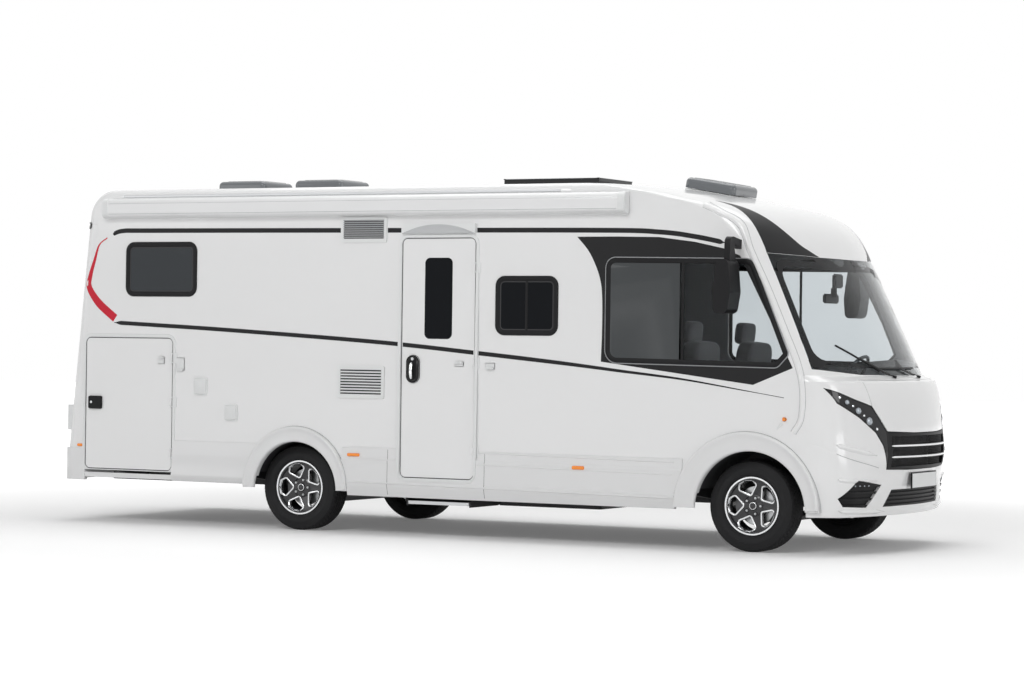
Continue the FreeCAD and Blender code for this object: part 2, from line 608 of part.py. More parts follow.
def channel(y):
    """C-section rail open towards the middle."""
    points = [(y, RAIL_LOW), (y, RAIL_LOW + SHEET), (y + RAIL_W - SHEET, RAIL_LOW + SHEET),
              (y + RAIL_W - SHEET, FLOOR - SHEET), (y, FLOOR - SHEET), (y, FLOOR), (y + RAIL_W, FLOOR),
              (y + RAIL_W, RAIL_LOW)]
    return prism_yz(points, rail_rear_x, rail_front_x)


rail = channel(RAIL_Y)
tow_x, tow_z = rail_rear_x + size("tow_reach"), FLOOR - RAIL_H / 2
for dx in (-1, 1):
    for dz in (-1, 1):
        at = V(tow_x + dx * size("tow_spacing_x") / 2, RAIL_Y, tow_z + dz * size("tow_spacing_z") / 2)
        rail = rail.cut(Part.makeCylinder(size("tow_hole_radius"), 200, at, V(0, 1, 0)))
members = [box(x - 30, x + 30, SHEET - RAIL_OUT, RAIL_OUT - SHEET, MEMBER_LOW, MEMBER_TOP) for x in MEMBERS]
outriggers = []
for x in OUTRIGGERS:
    side_view = [(RAIL_OUT - 2, MEMBER_LOW), (RAIL_OUT - 2, FLOOR), (WALL_IN, FLOOR), (WALL_IN, FLOOR - 30)]
    bracket = prism_yz(side_view, x - 25, x + 25)
    outriggers += [bracket, mirror(bracket)]

STEP_W, STEP_LOW, STEP_T = size("step_width"), size("step_low_z"), size("step_thick")
step_x = (DOOR[0][0] + DOOR[1][0]) / 2
STEP_OUT = -HALF + size("step_inset")
carrier = []
for dx in (-STEP_W / 2 - size("pin_clearance") - 12, STEP_W / 2 + size("pin_clearance")):
    plate = [(-RAIL_OUT + 2, MEMBER_TOP), (-RAIL_OUT + 2, RAIL_LOW), (-RAIL_OUT - 160, STEP_LOW - 12),
             (STEP_OUT + 10, STEP_LOW - 12), (STEP_OUT + 10, STEP_LOW + STEP_T + 8),
             (-RAIL_OUT - 260, MEMBER_TOP)]
    carrier.append(prism_yz(plate, step_x + dx, step_x + dx + 12))
jack_x, JACK, JACK_T = AXLE_R + size("jack_x"), size("jack_pad"), size("jack_pad_thick")
jack_pad = box(jack_x - JACK / 2, jack_x + JACK / 2, RAIL_Y, RAIL_OUT, RAIL_LOW - JACK_T, RAIL_LOW + SHEET)
both_rails = fuse(rail, mirror(rail), jack_pad, mirror(jack_pad))
keep("chassis_frame", fuse(both_rails, *members, *outriggers, *carrier))

# Floor slab with the four wheel housings
FLOOR_TOP = FLOOR + size("floor_thick")
BULKHEAD_X = AXLE_F + size("bulkhead_reach")
HOUSING = size("housing_sheet")
floor = box(rear_x(FLOOR) + WALL + 4, BULKHEAD_X + WALL, -WALL_IN, WALL_IN, FLOOR, FLOOR_TOP)
above = box(-9000, 9000, -9000, 9000, FLOOR, 3000)
for arch, more, liner in ((REAR_ARCH, 10, "rear_liner_y"), (FRONT_ARCH, 6, "front_liner_y")):
    (radius, x, z), y_in = arch, size(liner)
    wide = Part.makeCylinder(radius + more + HOUSING, WALL_IN - y_in, V(x, -WALL_IN, z), V(0, 1, 0))
    wide = wide.common(above)
    bore = Part.makeCylinder(radius + more, WALL_IN - y_in - HOUSING, V(x, -WALL_IN, z), V(0, 1, 0))
    floor = floor.fuse(wide).fuse(mirror(wide)).cut(bore).cut(mirror(bore))
keep("floor_panel", floor.cut(living_shell).cut(bumper_shell).cut(nose_shell).removeSplitter())

# Skirts with their arch trims
SKIRT_T, SKIRT_LOW, SKIRT_TOP = size("skirt_thick"), size("skirt_low_z"), size("skirt_top_z")
TRIM = size("trim_proud")


def skirt(x0, x1):
    """Right-hand skirt length: lip on the wall, two swages, turned-in foot."""
    out = -HALF
    outline = [(out, SKIRT_TOP), (out - 8, SKIRT_TOP - 8), (out - 8, 626), (out - 16, 606), (out - 14, 570),
               (out - 16, 430), (out - 22, 420), (out - 18, 392), (out + 6, SKIRT_LOW), (out + 40, SKIRT_LOW),
               (out + 40, SKIRT_LOW + SKIRT_T), (out + 10, SKIRT_LOW + SKIRT_T), (out - 4, 404),
               (out - 4, WALL_LOW), (out, WALL_LOW)]
    return prism_yz(outline, x0, x1)


def trim(arch, radius, dx, dz):
    """Arch trim: a flared ring round the opening, cut off at its feet."""
    inner_r, x, z = arch
    ring = Part.makeCylinder(radius, TRIM, V(x + dx, -HALF - TRIM, z + dz), V(0, 1, 0))
    ring = ring.cut(Part.makeCylinder(inner_r, 200, V(x, -HALF - 100, z), V(0, 1, 0)))
    return ring.cut(box(x - 900, x + 900, -HALF - 100, HALF, z - 900, z + 10))


rear_trim = trim(REAR_ARCH, size("rear_trim_radius"), -5, 22)
front_trim = trim(FRONT_ARCH, size("front_trim_radius"), -34, 4)
trims_zone = fuse(
    arch_cut(size("rear_trim_radius") - 3, REAR_ARCH[1] - 5, REAR_ARCH[2] + 22, -HALF - 60, 0),
    arch_cut(size("front_trim_radius") - 3, FRONT_ARCH[1] - 34, FRONT_ARCH[2] + 4, -HALF - 60, 0))
door_cut = prism_xz(grown(DOOR, GAP + 2), -HALF - 200, -HALF + 200)
hinge_cut = box(DOOR[1][0], DOOR[1][0] + PLATE_L + 6, -HALF - 60, -HALF + 60, DOOR_HINGE_ZS[0] - 50,
                SKIRT_TOP + 1)
right_skirt = fuse(skirt(REAR_ARCH[1] + 440, FRONT_ARCH[1] - 560).cut(trims_zone), rear_trim, front_trim)
keep("side_skirts", Part.makeCompound(
    right_skirt.cut(door_cut).cut(hinge_cut).Solids + mirror(right_skirt).Solids))

# Rear bumper: full width moulding with wrapped ends, resting on the rear wall
bumper_x = AXLE_R - size("rear_reach")


def bumper_plan(inset, z0, z1):
    """Plan of the rear bumper with rounded ends, moved inwards by the inset."""
    y, x0, x1 = HALF + 8 - inset, bumper_x + inset, bumper_x + 240
    corner = EDGE + 40 - inset
    plan = rounded_polygon([V(x0, -y, z0), V(x1, -y, z0), V(x1, y, z0), V(x0, y, z0)], [corner, 0, 0, corner])
    return Part.Face(plan).extrude(V(0, 0, z1 - z0))


rear_bumper = bumper_plan(0, 350, 620).cut(bumper_plan(40, 300, WALL_LOW)).cut(living_outer)
rear_bumper = rear_bumper.cut(
    box(rear_x(WALL_LOW) + WALL, bumper_x + 400, -HALF + 40, HALF - 40, WALL_LOW - 1, SKIRT_TOP))
keep("rear_bumper", Part.makeCompound(solids_over(rear_bumper, 1e6)))

# Awning cassette on the right-hand wall
aw0, aw1, aw_out = size("awning_low_z"), size("awning_top_z"), size("awning_out")
awning_x0, awning_x1 = AXLE_R + size("awning_rear_x"), AXLE_R + size("awning_front_x")
profile = rounded_polygon([V(awning_x0, -HALF - aw_out, aw0), V(awning_x0, -HALF, aw0 - 15),
                           V(awning_x0, -HALF, aw1), V(awning_x0, -HALF - aw_out, aw1 - 10)], [40, 0, 10, 55])
keep("awning", Part.Face(profile).extrude(V(awning_x1 - awning_x0, 0, 0)))


# Wheels, each a tyre and a rim turned about the wheel axis; the rim carries the brake disc
def turned(name, profile_points):
    """Body made by turning an outline of (radius, place along the axis) points."""
    body = doc.addObject("PartDesign::Body", name)
    body.Label = name
    sketch = sketch_on(body, "XY_Plane", name + "_profile")
    points = [V(x, y, 0) for x, y in profile_points]
    sketch.addGeometry([Part.LineSegment(p, q) for p, q in zip(points, points[1:] + points[:1])])
    turn = body.newObject("PartDesign::Revolution", name + "_turned")
    turn.Profile = sketch
    turn.ReferenceAxis = (sketch, ["V_Axis"])
    turn.Angle = 360
    body.Tip = turn
    return body


TRACK = size("half_track")
TYRE_W, RIM_R, RIM_W = size("tyre_width"), size("rim_radius"), size("rim_width")
SPINDLE = size("spindle_radius")
BORE = SPINDLE + size("pin_clearance")
DISC_R, DISC_IN, DISC_T = size("disc_radius"), size("disc_inset"), size("disc_thick")
BEAD = RIM_R - 20
TREAD = TYRE_W / 2 - 12
EDGE_Y = RIM_W / 2
HUB_Y = -22
tyre_half = [(BEAD, EDGE_Y - 13), (RIM_R + 4, EDGE_Y - 5), (RIM_R + 30, TYRE_W / 2 - 2),
             (RIM_R + 62, TYRE_W / 2), (TYRE_R - 38, TYRE_W / 2 - 6), (TYRE_R - 12, TREAD - 2),
             (TYRE_R, TREAD - 18)]
tyre_profile = [(r, -y) for r, y in tyre_half] + tyre_half[::-1]
rim_profile = [(0, -74), (30, -74), (36, -66), (72, -64), (84, -58), (BEAD - 12, -76), (BEAD - 6, 2 - EDGE_Y),
               (RIM_R, -EDGE_Y), (RIM_R, 5 - EDGE_Y), (BEAD, 13 - EDGE_Y), (BEAD, EDGE_Y - 13),
               (RIM_R, EDGE_Y - 5), (RIM_R, EDGE_Y), (BEAD - 8, EDGE_Y - 8), (BEAD - 8, -48), (75, HUB_Y),
               (75, DISC_IN),
               (DISC_R, DISC_IN), (DISC_R, DISC_IN + DISC_T), (BORE, DISC_IN + DISC_T), (BORE, -58), (0, -58)]
# One window between two spokes, as (radius, degrees from its middle), and its corner radii
RIM_WINDOW = [(86, 0), (164, 25), (184, 16), (188, 0), (184, -16), (164, -25)]
RIM_WINDOW_R = [10, 12, 3, 0, 3, 12]


def drawn(sketch, wire):
    """Lines and arcs of a flat wire put into a sketch."""
    for edge in wire.Edges:
        if isinstance(edge.Curve, Part.Line):
            sketch.addGeometry(Part.LineSegment(edge.Vertexes[0].Point, edge.Vertexes[-1].Point))
        else:
            sketch.addGeometry(Part.ArcOfCircle(edge.Curve, edge.FirstParameter, edge.LastParameter))


def sketch_on(body, role, name):
    """Empty sketch on one of a body's own planes."""
    sketch = body.newObject("Sketcher::SketchObject", name)
    plane = [o for o in body.Origin.OriginFeatures if o.Role == role][0]
    sketch.AttachmentSupport = [(plane, "")]
    sketch.MapMode = "FlatFace"
    sketch.Visibility = False
    return sketch


def spoked(body, name):
    """Cuts the windows between the spokes through the disc of a turned rim."""
    sketch = sketch_on(body, "XZ_Plane", name + "_windows")
    count = int(size("spoke_count"))
    for k in range(count):
        middle = 360 / count * (k + 0.5)
        corners = [V(r * math.cos(math.radians(middle + a)), r * math.sin(math.radians(middle + a)), 0)
                   for r, a in RIM_WINDOW]
        drawn(sketch, rounded_polygon(corners, RIM_WINDOW_R))
    windows = body.newObject("PartDesign::Pocket", name + "_spokes")
    windows.Profile = sketch
    windows.Length = EDGE_Y
    windows.Reversed = True
    body.Tip = windows


for end, x in (("rear", AXLE_R), ("front", AXLE_F)):
    for side, y, turn in (("right", -TRACK, 0), ("left", TRACK, 180)):
        for part, points in (("tyre", tyre_profile), ("rim", rim_profile)):
            name = f"{part}_{end}_{side}"
            body = turned(name, points)
            if part == "rim":
                spoked(body, name)
            body.Placement = FreeCAD.Placement(V(x, y, TYRE_R), FreeCAD.Rotation(V(0, 0, 1), turn))
            nodes[name] = body

# Hubs: flange, spindle in the rim's bore, and the caliper over the brake disc
flange_y = TRACK - DISC_IN - DISC_T - 10
spindle_y = TRACK + 58 - 7


def hub(x, inner_y):
    """Right-hand hub from an inner place outwards, on the wheel axis."""
    def turned_at(radius, y0, y1):
        return Part.makeCylinder(radius, y1 - y0, V(x, -y1, TYRE_R), V(0, 1, 0))

    caliper = turned_at(DISC_R + 18, flange_y - 26, TRACK + 12).cut(turned_at(DISC_R - 80, 0, TRACK + 40))
    caliper = caliper.cut(turned_at(DISC_R + 6, flange_y + 4, TRACK - DISC_IN + 6))
    caliper = caliper.cut(turned_at(82, flange_y + 4, TRACK + 40))
    caliper = caliper.common(box(x - DISC_R - 30, x - 55, -HALF, -inner_y, TYRE_R - 75, TYRE_R + 75))
    return fuse(turned_at(62, inner_y, flange_y), turned_at(DISC_R - 72, flange_y - 24, flange_y), caliper,
                turned_at(SPINDLE, flange_y - 10, spindle_y))


# Rear axle: cross tube under the rails, trailing arms, hubs
tube_x, tube_z, tube_r = AXLE_R + size("rear_tube_reach"), RAIL_LOW - 50, 50
arm_y0, arm_y1 = 700, 745
axle_parts = [Part.makeCylinder(tube_r, 2 * arm_y1, V(tube_x, -arm_y1, tube_z), V(0, 1, 0))]
for side in (-1, 1):
    y = side * (RAIL_Y + RAIL_W / 2)
    axle_parts.append(box(tube_x - 50, tube_x + 50, y - RAIL_W / 2, y + RAIL_W / 2, tube_z, RAIL_LOW))
    y0, y1 = sorted((side * arm_y0, side * arm_y1))
    trailing = [(AXLE_R - 62, TYRE_R - 50), (tube_x - 20, tube_z - 50), (tube_x + 50, tube_z - 50),
                (tube_x + 50, tube_z + 50), (AXLE_R + 40, TYRE_R + 62), (AXLE_R - 62, TYRE_R + 62)]
    axle_parts.append(rounded_xz(trailing, [30, 30, 40, 30, 40, 40], y0, y1))
rear_hub = hub(AXLE_R, arm_y0 + 5)
keep("rear_axle", fuse(*axle_parts, rear_hub, mirror(rear_hub)))

# Front: lower and upper arms to the steering axes, and the two knuckles that turn on them
KING_Y = TRACK - size("kingpin_inset")
LOWER_ARM, UPPER_ARM = TYRE_R - 130, TYRE_R + 85
KNUCKLE_LOW, KNUCKLE_TOP = LOWER_ARM + 35, UPPER_ARM - 5
KING_PIN = size("king_pin_radius")
arm_plan = [(-140, 0), (140, 0), (140, 690), (45, 780), (34, KING_Y), (-34, KING_Y), (-45, 780), (-140, 690)]
arm_loop = [V(AXLE_F + x, -y, LOWER_ARM) for x, y in arm_plan + arm_plan[:1]]
lower = Part.Face(Part.makePolygon(arm_loop)).extrude(V(0, 0, 30))
frame_parts = [lower, Part.makeCylinder(34, 30, V(AXLE_F, -KING_Y, LOWER_ARM)),
               Part.makeCylinder(KING_PIN, 60, V(AXLE_F, -KING_Y, LOWER_ARM)),
               Part.makeCylinder(KING_PIN, 60, V(AXLE_F, -KING_Y, UPPER_ARM - 32)),
               Part.makeCylinder(34, 27, V(AXLE_F, -KING_Y, UPPER_ARM)),
               box(AXLE_F - 34, AXLE_F + 34, -KING_Y, -RAIL_OUT, UPPER_ARM, UPPER_ARM + 27)]
for x in (AXLE_F - 140, AXLE_F + 90):
    frame_parts.append(box(x, x + 50, -RAIL_OUT, -RAIL_Y, LOWER_ARM + 28, RAIL_LOW))
right_arms = fuse(*frame_parts)
keep("front_subframe", Part.makeCompound(right_arms.fuse(mirror(right_arms)).removeSplitter().Solids))
king_bore = Part.makeCylinder(KING_PIN + size("pin_clearance"), 400, V(AXLE_F, -KING_Y, 0))
upright = Part.makeCylinder(32, KNUCKLE_TOP - KNUCKLE_LOW, V(AXLE_F, -KING_Y, KNUCKLE_LOW))
king_top = Part.makeCylinder(KING_PIN + size("pin_clearance"), 60, V(AXLE_F, -KING_Y, KNUCKLE_TOP - 32))
king_low = Part.makeCylinder(KING_PIN + size("pin_clearance"), 60, V(AXLE_F, -KING_Y, KNUCKLE_LOW - 28))
knuckle = fuse(upright, hub(AXLE_F, KING_Y)).cut(king_top).cut(king_low)
keep("knuckle_right", knuckle)
keep("knuckle_left", mirror(knuckle))

def padded(name, wire, role, origin, length):
    """Body made by padding a flat wire of the body's own plane, placed by its origin."""
    body = doc.addObject("PartDesign::Body", name)
    body.Label = name
    sketch = sketch_on(body, role, name + "_outline")
    drawn(sketch, wire)
    pad = body.newObject("PartDesign::Pad", name + "_pad")
    pad.Profile = sketch
    pad.Length = length
    body.Tip = pad
    body.Placement = FreeCAD.Placement(origin, FreeCAD.Rotation())
    nodes[name] = body
    return body


def flat_rect(x0, x1, y0, y1, radius=0):
    """Flat rectangle, its corners rounded, as a wire of the sketch plane."""
    return rounded_polygon([V(x0, y0, 0), V(x1, y0, 0), V(x1, y1, 0), V(x0, y1, 0)], [radius] * 4)


# Engine on its cross member, tanks under the floor
ENGINE_TOP, ENGINE_HALF = 940, 400
padded("engine_block", flat_rect(BULKHEAD_X + WALL + 20, AXLE_F + 870, -ENGINE_HALF, ENGINE_HALF), "XY_Plane",
       V(0, 0, MEMBER_TOP), ENGINE_TOP - MEMBER_TOP)
TANK_TOP, TANK_LOW, TANK_HALF, TANK_EDGE = MEMBER_LOW, MEMBER_LOW - 130, 340, 25
tanks = []
for tank_x0, tank_x1 in ((AXLE_R + 600, AXLE_R + 1450), (AXLE_R + 1490, AXLE_R + 2420)):
    tank = box(tank_x0, tank_x1, -TANK_HALF, TANK_HALF, TANK_LOW, TANK_TOP)
    uprights = [e for e in tank.Edges if abs(e.Vertexes[0].Z - e.Vertexes[-1].Z) > 1]
    tanks.append(tank.makeFillet(TANK_EDGE, uprights))
keep("underfloor_tanks", Part.makeCompound(tanks))

# Dashboard on the bulkhead, with the steering column's boss
housing_r = FRONT_ARCH[0] + 6 + HOUSING + 4
bulkhead = prism_yz([(-WALL_IN, 760), (-WALL_IN, 1060), (WALL_IN, 1060), (WALL_IN, 760), (596, 760),
                     (596, FLOOR_TOP), (-596, FLOOR_TOP), (-596, 760)], BULKHEAD_X, BULKHEAD_X + WALL)
bulkhead = bulkhead.cut(arch_cut(housing_r, FRONT_ARCH[1], FRONT_ARCH[2], -WALL_IN, -600)).cut(
    arch_cut(housing_r, FRONT_ARCH[1], FRONT_ARCH[2], 600, WALL_IN))
dash = rounded_xz([(AXLE_F + 300, 960), (AXLE_F + 560, 960), (AXLE_F + 610, 1225), (AXLE_F + 420, 1262),
                   (AXLE_F + 315, 1190)], [30, 40, 50, 60, 50], -980, 980)
column_angle = math.radians(size("column_angle"))
wheel_axis = V(-math.cos(column_angle), 0, math.sin(column_angle))
wheel_at = V(AXLE_F + size("steering_x"), size("driver_y"), size("steering_z"))
COLUMN_PIN = size("column_pin_radius")
column = Part.makeCylinder(38, 230, wheel_at - wheel_axis * 56, -wheel_axis)
column_pin = Part.makeCylinder(COLUMN_PIN, 60, wheel_at - wheel_axis * 20, -wheel_axis)
keep("dashboard", fuse(bulkhead, dash, column, column_pin))
across = V(0, 1, 0)
down = wheel_axis.cross(across)
GRIP = 14
section = []
for k in range(8):
    turn_by = math.radians(360 / 8 * (k + 0.5))
    outwards = across * (size("steering_wheel_radius") + GRIP * math.cos(turn_by))
    section.append(wheel_at + outwards + wheel_axis * (GRIP * math.sin(turn_by)))
rim_ring = Part.Face(Part.makePolygon(section + section[:1])).revolve(wheel_at, wheel_axis, 360)
boss = Part.makeCylinder(42, 62, wheel_at - wheel_axis * 50, wheel_axis)
spokes = [Part.makeCylinder(12, size("steering_wheel_radius"), wheel_at - wheel_axis * 10, d)
          for d in (across, -across, down)]
pin_room = COLUMN_PIN + size("pin_clearance")
column_bore = Part.makeCylinder(pin_room, 60, wheel_at - wheel_axis * 15, -wheel_axis)
keep("steering_wheel", fuse(rim_ring, boss, *spokes).cut(column_bore))


def seat(y):
    """Cab seat: box, cushion, backrest and headrest."""
    x = AXLE_F - size("seat_reach")
    base, cushion, back, head = FLOOR_TOP, FLOOR_TOP + 260, FLOOR_TOP + 400, FLOOR_TOP + 1040
    return fuse(
        box(x - 170, x + 170, y - 170 if y > 0 else -590, y + 170 if y < 0 else 590, base, cushion),
        rounded_xz(rect(x - 260, x + 270, cushion, back), 50, y - 255, y + 255),
        rounded_xz([(x - 300, back - 20), (x - 170, back - 20), (x - 260, head), (x - 370, head)], 40,
                   y - 240, y + 240),
        rounded_xz([(x - 360, head - 5), (x - 260, head - 5), (x - 280, head + 180), (x - 380, head + 180)],
                   30, y - 130, y + 130))


keep("cab_seats", Part.makeCompound([seat(-size("driver_y")), seat(size("driver_y"))]))

# Lamps: headlamps, tail lamps and side repeaters
tail_block = box(rear_x(900) - 22, rear_x(900) + 60, -HALF + 12, -HALF + 130, 770, 985).cut(living_outer)
tail_lamps = [s for s in both(tail_block).Solids if s.Volume > 1e4]
repeater = Part.makeCylinder(14, 30, V(AXLE_R + 4355, -HALF - 12, 1015), V(0, 1, 0)).cut(front_zone(NOSE, 0))
side_repeaters = [s for s in both(repeater).Solids if s.Volume > 100]
keep("lamps", Part.makeCompound(headlamps + tail_lamps + side_repeaters))

# Mirrors: arm from the mask, hanging housing
MIRROR_X, MIRROR_Y, MIRROR_ARM = AXLE_R + size("mirror_x"), HALF + size("mirror_out"), 24
HEAD_OUTLINE = [(MIRROR_X - 62, 1800), (MIRROR_X + 48, 1800), (MIRROR_X + 75, 1960), (MIRROR_X + 55, 2205),
                (MIRROR_X - 40, 2205), (MIRROR_X - 75, 1960)]
mirror_head = rounded_xz(HEAD_OUTLINE, [40, 45, 60, 45, 45, 60], -MIRROR_Y - 100, -MIRROR_Y + 100)
# Arm in front view: out from the pillar, then down to the head
ARM_OUTLINE = [(-HALF + 60, 2270), (-MIRROR_Y + 30, 2330), (-MIRROR_Y + 62, 2190), (-MIRROR_Y - 50, 2190),
               (-MIRROR_Y - 42, 2385), (-HALF + 60, 2350)]
arm_wire = rounded_polygon([V(MIRROR_X, y, z) for y, z in ARM_OUTLINE], [0, 20, 0, 0, 55, 0])
mirror_arm = Part.Face(arm_wire).extrude(V(2 * MIRROR_ARM, 0, 0))
mirror_right = fuse(mirror_arm.cut(front_zone(SCREEN, 0)).cut(front_zone(CAP, 0)), mirror_head)
keep("mirrors", both(max(mirror_right.Solids, key=lambda s: s.Volume)))


# Wipers: a pivot on the ledge, a bent arm over the glass and a blade that follows it
def on_front(y, z, lift):
    """Place over the ledge or the screen, lifted off its surface."""
    stations = LEDGE + SCREEN[1:]
    for (z0, r0, f0, _), (z1, r1, f1, _) in zip(stations, stations[1:]):
        if z0 <= z <= z1:
            part = (z - z0) / (z1 - z0)
            front_r = f0 + (f1 - f0) * part
            lean = math.atan2(r0 - r1, z1 - z0)
            x = AXLE_F + r0 + (r1 - r0) * part - front_r + math.sqrt(front_r ** 2 - y ** 2)
            return V(x + lift * math.cos(lean), y, z + lift * math.sin(lean))
    raise ValueError("no surface at this height")


def ribbon(places, half_width, half_height):
    """Flat bar through places over the front, each (y, z, lift), its section square to the surface."""
    centres = [on_front(*place) for place in places]
    wires = []
    for k, ((y, z, lift), centre) in enumerate(zip(places, centres)):
        up = (on_front(y, z, lift + 1) - centre).normalize() * half_height
        along = centres[min(k + 1, len(centres) - 1)] - centres[max(k - 1, 0)]
        side = up.cross(along).normalize() * half_width
        corners = [centre + side + up, centre - side + up, centre - side - up, centre + side - up]
        wires.append(Part.makePolygon(corners + corners[:1]))
    return Part.makeLoft(wires, True, True)


# root, knee where the arm takes the blade, both ends of the blade, as (y, z)
WIPERS = [((-257, 1330), (-640, 1482), (-811, 1568), (-405, 1376)),
          ((276, 1330), (-60, 1398), (-400, 1396), (317, 1400))]
ARM_LIFT, BLADE_LIFT, BLADE_STEPS, PIVOT_R, PIVOT_H = 16, 10, 8, 16, 18
wiper_solids = []
for root, knee, tip, heel in WIPERS:
    base, top = on_front(*root, 1.5), on_front(*root, PIVOT_H)
    pivot = Part.makeCylinder(PIVOT_R, PIVOT_H - 1.5, base, top - base)
    shares = [k / BLADE_STEPS for k in range(BLADE_STEPS + 1)]
    upwards = [(root[0] + (knee[0] - root[0]) * s, root[1] + (knee[1] - root[1]) * s,
                ARM_LIFT if 0 < s < 1 else ARM_LIFT - 4) for s in shares]
    along = [(tip[0] + (heel[0] - tip[0]) * s, tip[1] + (heel[1] - tip[1]) * s, BLADE_LIFT) for s in shares]
    wiper_solids.append(fuse(pivot, ribbon(upwards, 8, 3), ribbon(along, 6, 5)))
keep("wipers", Part.makeCompound(wiper_solids))

# Fittings on the outside: vents, service caps, door hood, hinge halves, roof frames
VENT_PROUD, VENT_EDGE = 10, 28


def vent(x0, x1, z0, z1):
    """Refrigerator vent on the right-hand wall: a frame crossed by slots."""
    plate = rounded_xz(ahead(rect(x0, x1, z0, z1)), 18, -HALF - VENT_PROUD, -HALF)
    count = int(size("vent_slats"))
    pitch = (z1 - z0 - 2 * VENT_EDGE) / count
    for k in range(count):
        low = z0 + VENT_EDGE + pitch * (k + 0.25)
        slot = rect(x0 + VENT_EDGE, x1 - VENT_EDGE, low, low + pitch / 2)
        plate = plate.cut(prism_xz(ahead(slot), -HALF - VENT_PROUD - 1, -HALF - 3))
    return plate


fittings = [
    vent(457, 888, 2352, 2560),
    vent(440, 880, 1096, 1361),
    rounded_xz(ahead(rect(-965, -828, 1089, 1241)), 20, -HALF - 8, -HALF),
    rounded_xz(ahead(rect(-656, -524, 882, 1023)), 20, -HALF - 8, -HALF),
    rounded_xz(ahead(rect(1033, 1708, 2420, 2500)), 12, -HALF - 25, -HALF),
]
fittings += door_fixed + garage_fixed + [mirror(half) for half in garage_fixed]
LID_RISE, LID_OVER, LID_H = size("lid_rise"), size("lid_over"), size("lid_height")
LID_PIN = size("lid_pin_reach")


def lid_and_frame(x, length, width, z, drop):
    """Roof frame from a depth under z to a rise over it, and the domed lid hinged behind it."""
    over = LID_OVER
    frame_x, frame_y, frame_top = length / 2 + 30, width / 2 + 30, z + LID_RISE - 5
    frame = box(x - frame_x, x + frame_x, -frame_y, frame_y, z - drop, frame_top)
    frame = frame.cut(box(x - length / 2, x + length / 2, -width / 2, width / 2, z - drop - 50, z + 100))
    z0, z1 = z + LID_RISE, z + LID_RISE + LID_H
    lid = box(x - length / 2 - over, x + length / 2 + over, -width / 2 - over, width / 2 + over, z0, z1)
    round_edges = [e for e in lid.Edges if all(abs(v.Z - z1) < 0.1 for v in e.Vertexes)
                   or abs(e.Vertexes[0].Z - e.Vertexes[-1].Z) > 1]
    lid = lid.makeFillet(40, round_edges)
    lid = lid.cut(box(x - length / 2 - over + 25, x + length / 2 + over - 25, -width / 2 - over + 25,
                      width / 2 + over - 25, z0 - 1, z1 - 30))
    pin_x, pin_z = x - length / 2 - over - LID_PIN, z0 + 8
    fixed, moving = [frame], [lid]
    for y in (-width / 4, width / 4):
        bore = Part.makeCylinder(PIN_BORE, 80, V(pin_x, y - 40, pin_z), V(0, 1, 0))
        barrel = fuse(Part.makeCylinder(BARREL, 40, V(pin_x, y - 20, pin_z), V(0, 1, 0)),
                      box(pin_x, x - length / 2 - over + 15, y - 20, y + 20, pin_z, pin_z + BARREL))
        moving.append(barrel.cut(bore))
        fixed.append(Part.makeCylinder(PIN, 66, V(pin_x, y - 33, pin_z), V(0, 1, 0)))
        for y0 in (y - 33, y + 21):
            fixed.append(Part.makeCylinder(BARREL, 12, V(pin_x, y0, pin_z), V(0, 1, 0)))
            fixed.append(box(pin_x - BARREL, pin_x + BARREL, y0, y0 + 12, z - min(drop, 20), pin_z))
            fixed.append(box(pin_x - BARREL, x - length / 2 - 10, y0, y0 + 12, z - min(drop, 20), frame_top))
    return fuse(*fixed), fuse(*moving)


for name, x in zip(("hatch_lid_rear", "hatch_lid_middle"), HATCH_X):
    hatch_frame, hatch_lid = lid_and_frame(x, HATCH, HATCH, ROOF, 0)
    fittings.append(hatch_frame)
    keep(name, hatch_lid)
slope = math.degrees(math.atan(size("skylight_slope")))
sky_z = size("skylight_z")
sky_frame, sky_lid = lid_and_frame(SKY_X, SKY_L, SKY_W, sky_z, 60)
for shape in (sky_frame, sky_lid):
    shape.rotate(V(SKY_X, 0, sky_z), V(0, 1, 0), slope)
sky_frame = sky_frame.cut(front_zone(CAP, 0)).cut(crown_block)
fittings.append(max(sky_frame.Solids, key=lambda s: s.Volume))
keep("skylight_lid", sky_lid)
keep("body_fittings", Part.makeCompound(fittings))
padded("solar_panel", flat_rect(AXLE_R + 1800, AXLE_R + 2650, -900, -300, 15), "XY_Plane", V(0, 0, ROOF), 50)
step_in = STEP_OUT + size("step_depth")
padded("entry_step", flat_rect(step_x - STEP_W / 2, step_x + STEP_W / 2, STEP_OUT, step_in, 18), "XY_Plane",
       V(0, 0, STEP_LOW), STEP_T)

doc.recompute()
os.makedirs("parts", exist_ok=True)
for obj in doc.Objects:
    if "Invalid" in obj.State or "Error" in obj.State:
        raise RuntimeError(f"{obj.Label} did not compute: {obj.State}")
for name, obj in nodes.items():
    shape = obj.Shape
    if shape.isNull() or not shape.isValid() or not shape.Solids:
        raise RuntimeError(f"{name} has no valid solid")
    shape.exportStep(f"parts/{name}.step")
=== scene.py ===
"""Looks of an integrated motorhome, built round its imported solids.

Metres, X forward, Y to the vehicle's left, Z up, ground at Z = 0. The right side, towards -Y, faces the
camera.
"""

import logging
from dataclasses import dataclass, field
from enum import Enum
from math import cos, pi, radians, sin

import bmesh
import bpy
import numpy as np
from mathutils import Matrix, Vector
from mathutils.bvhtree import BVHTree

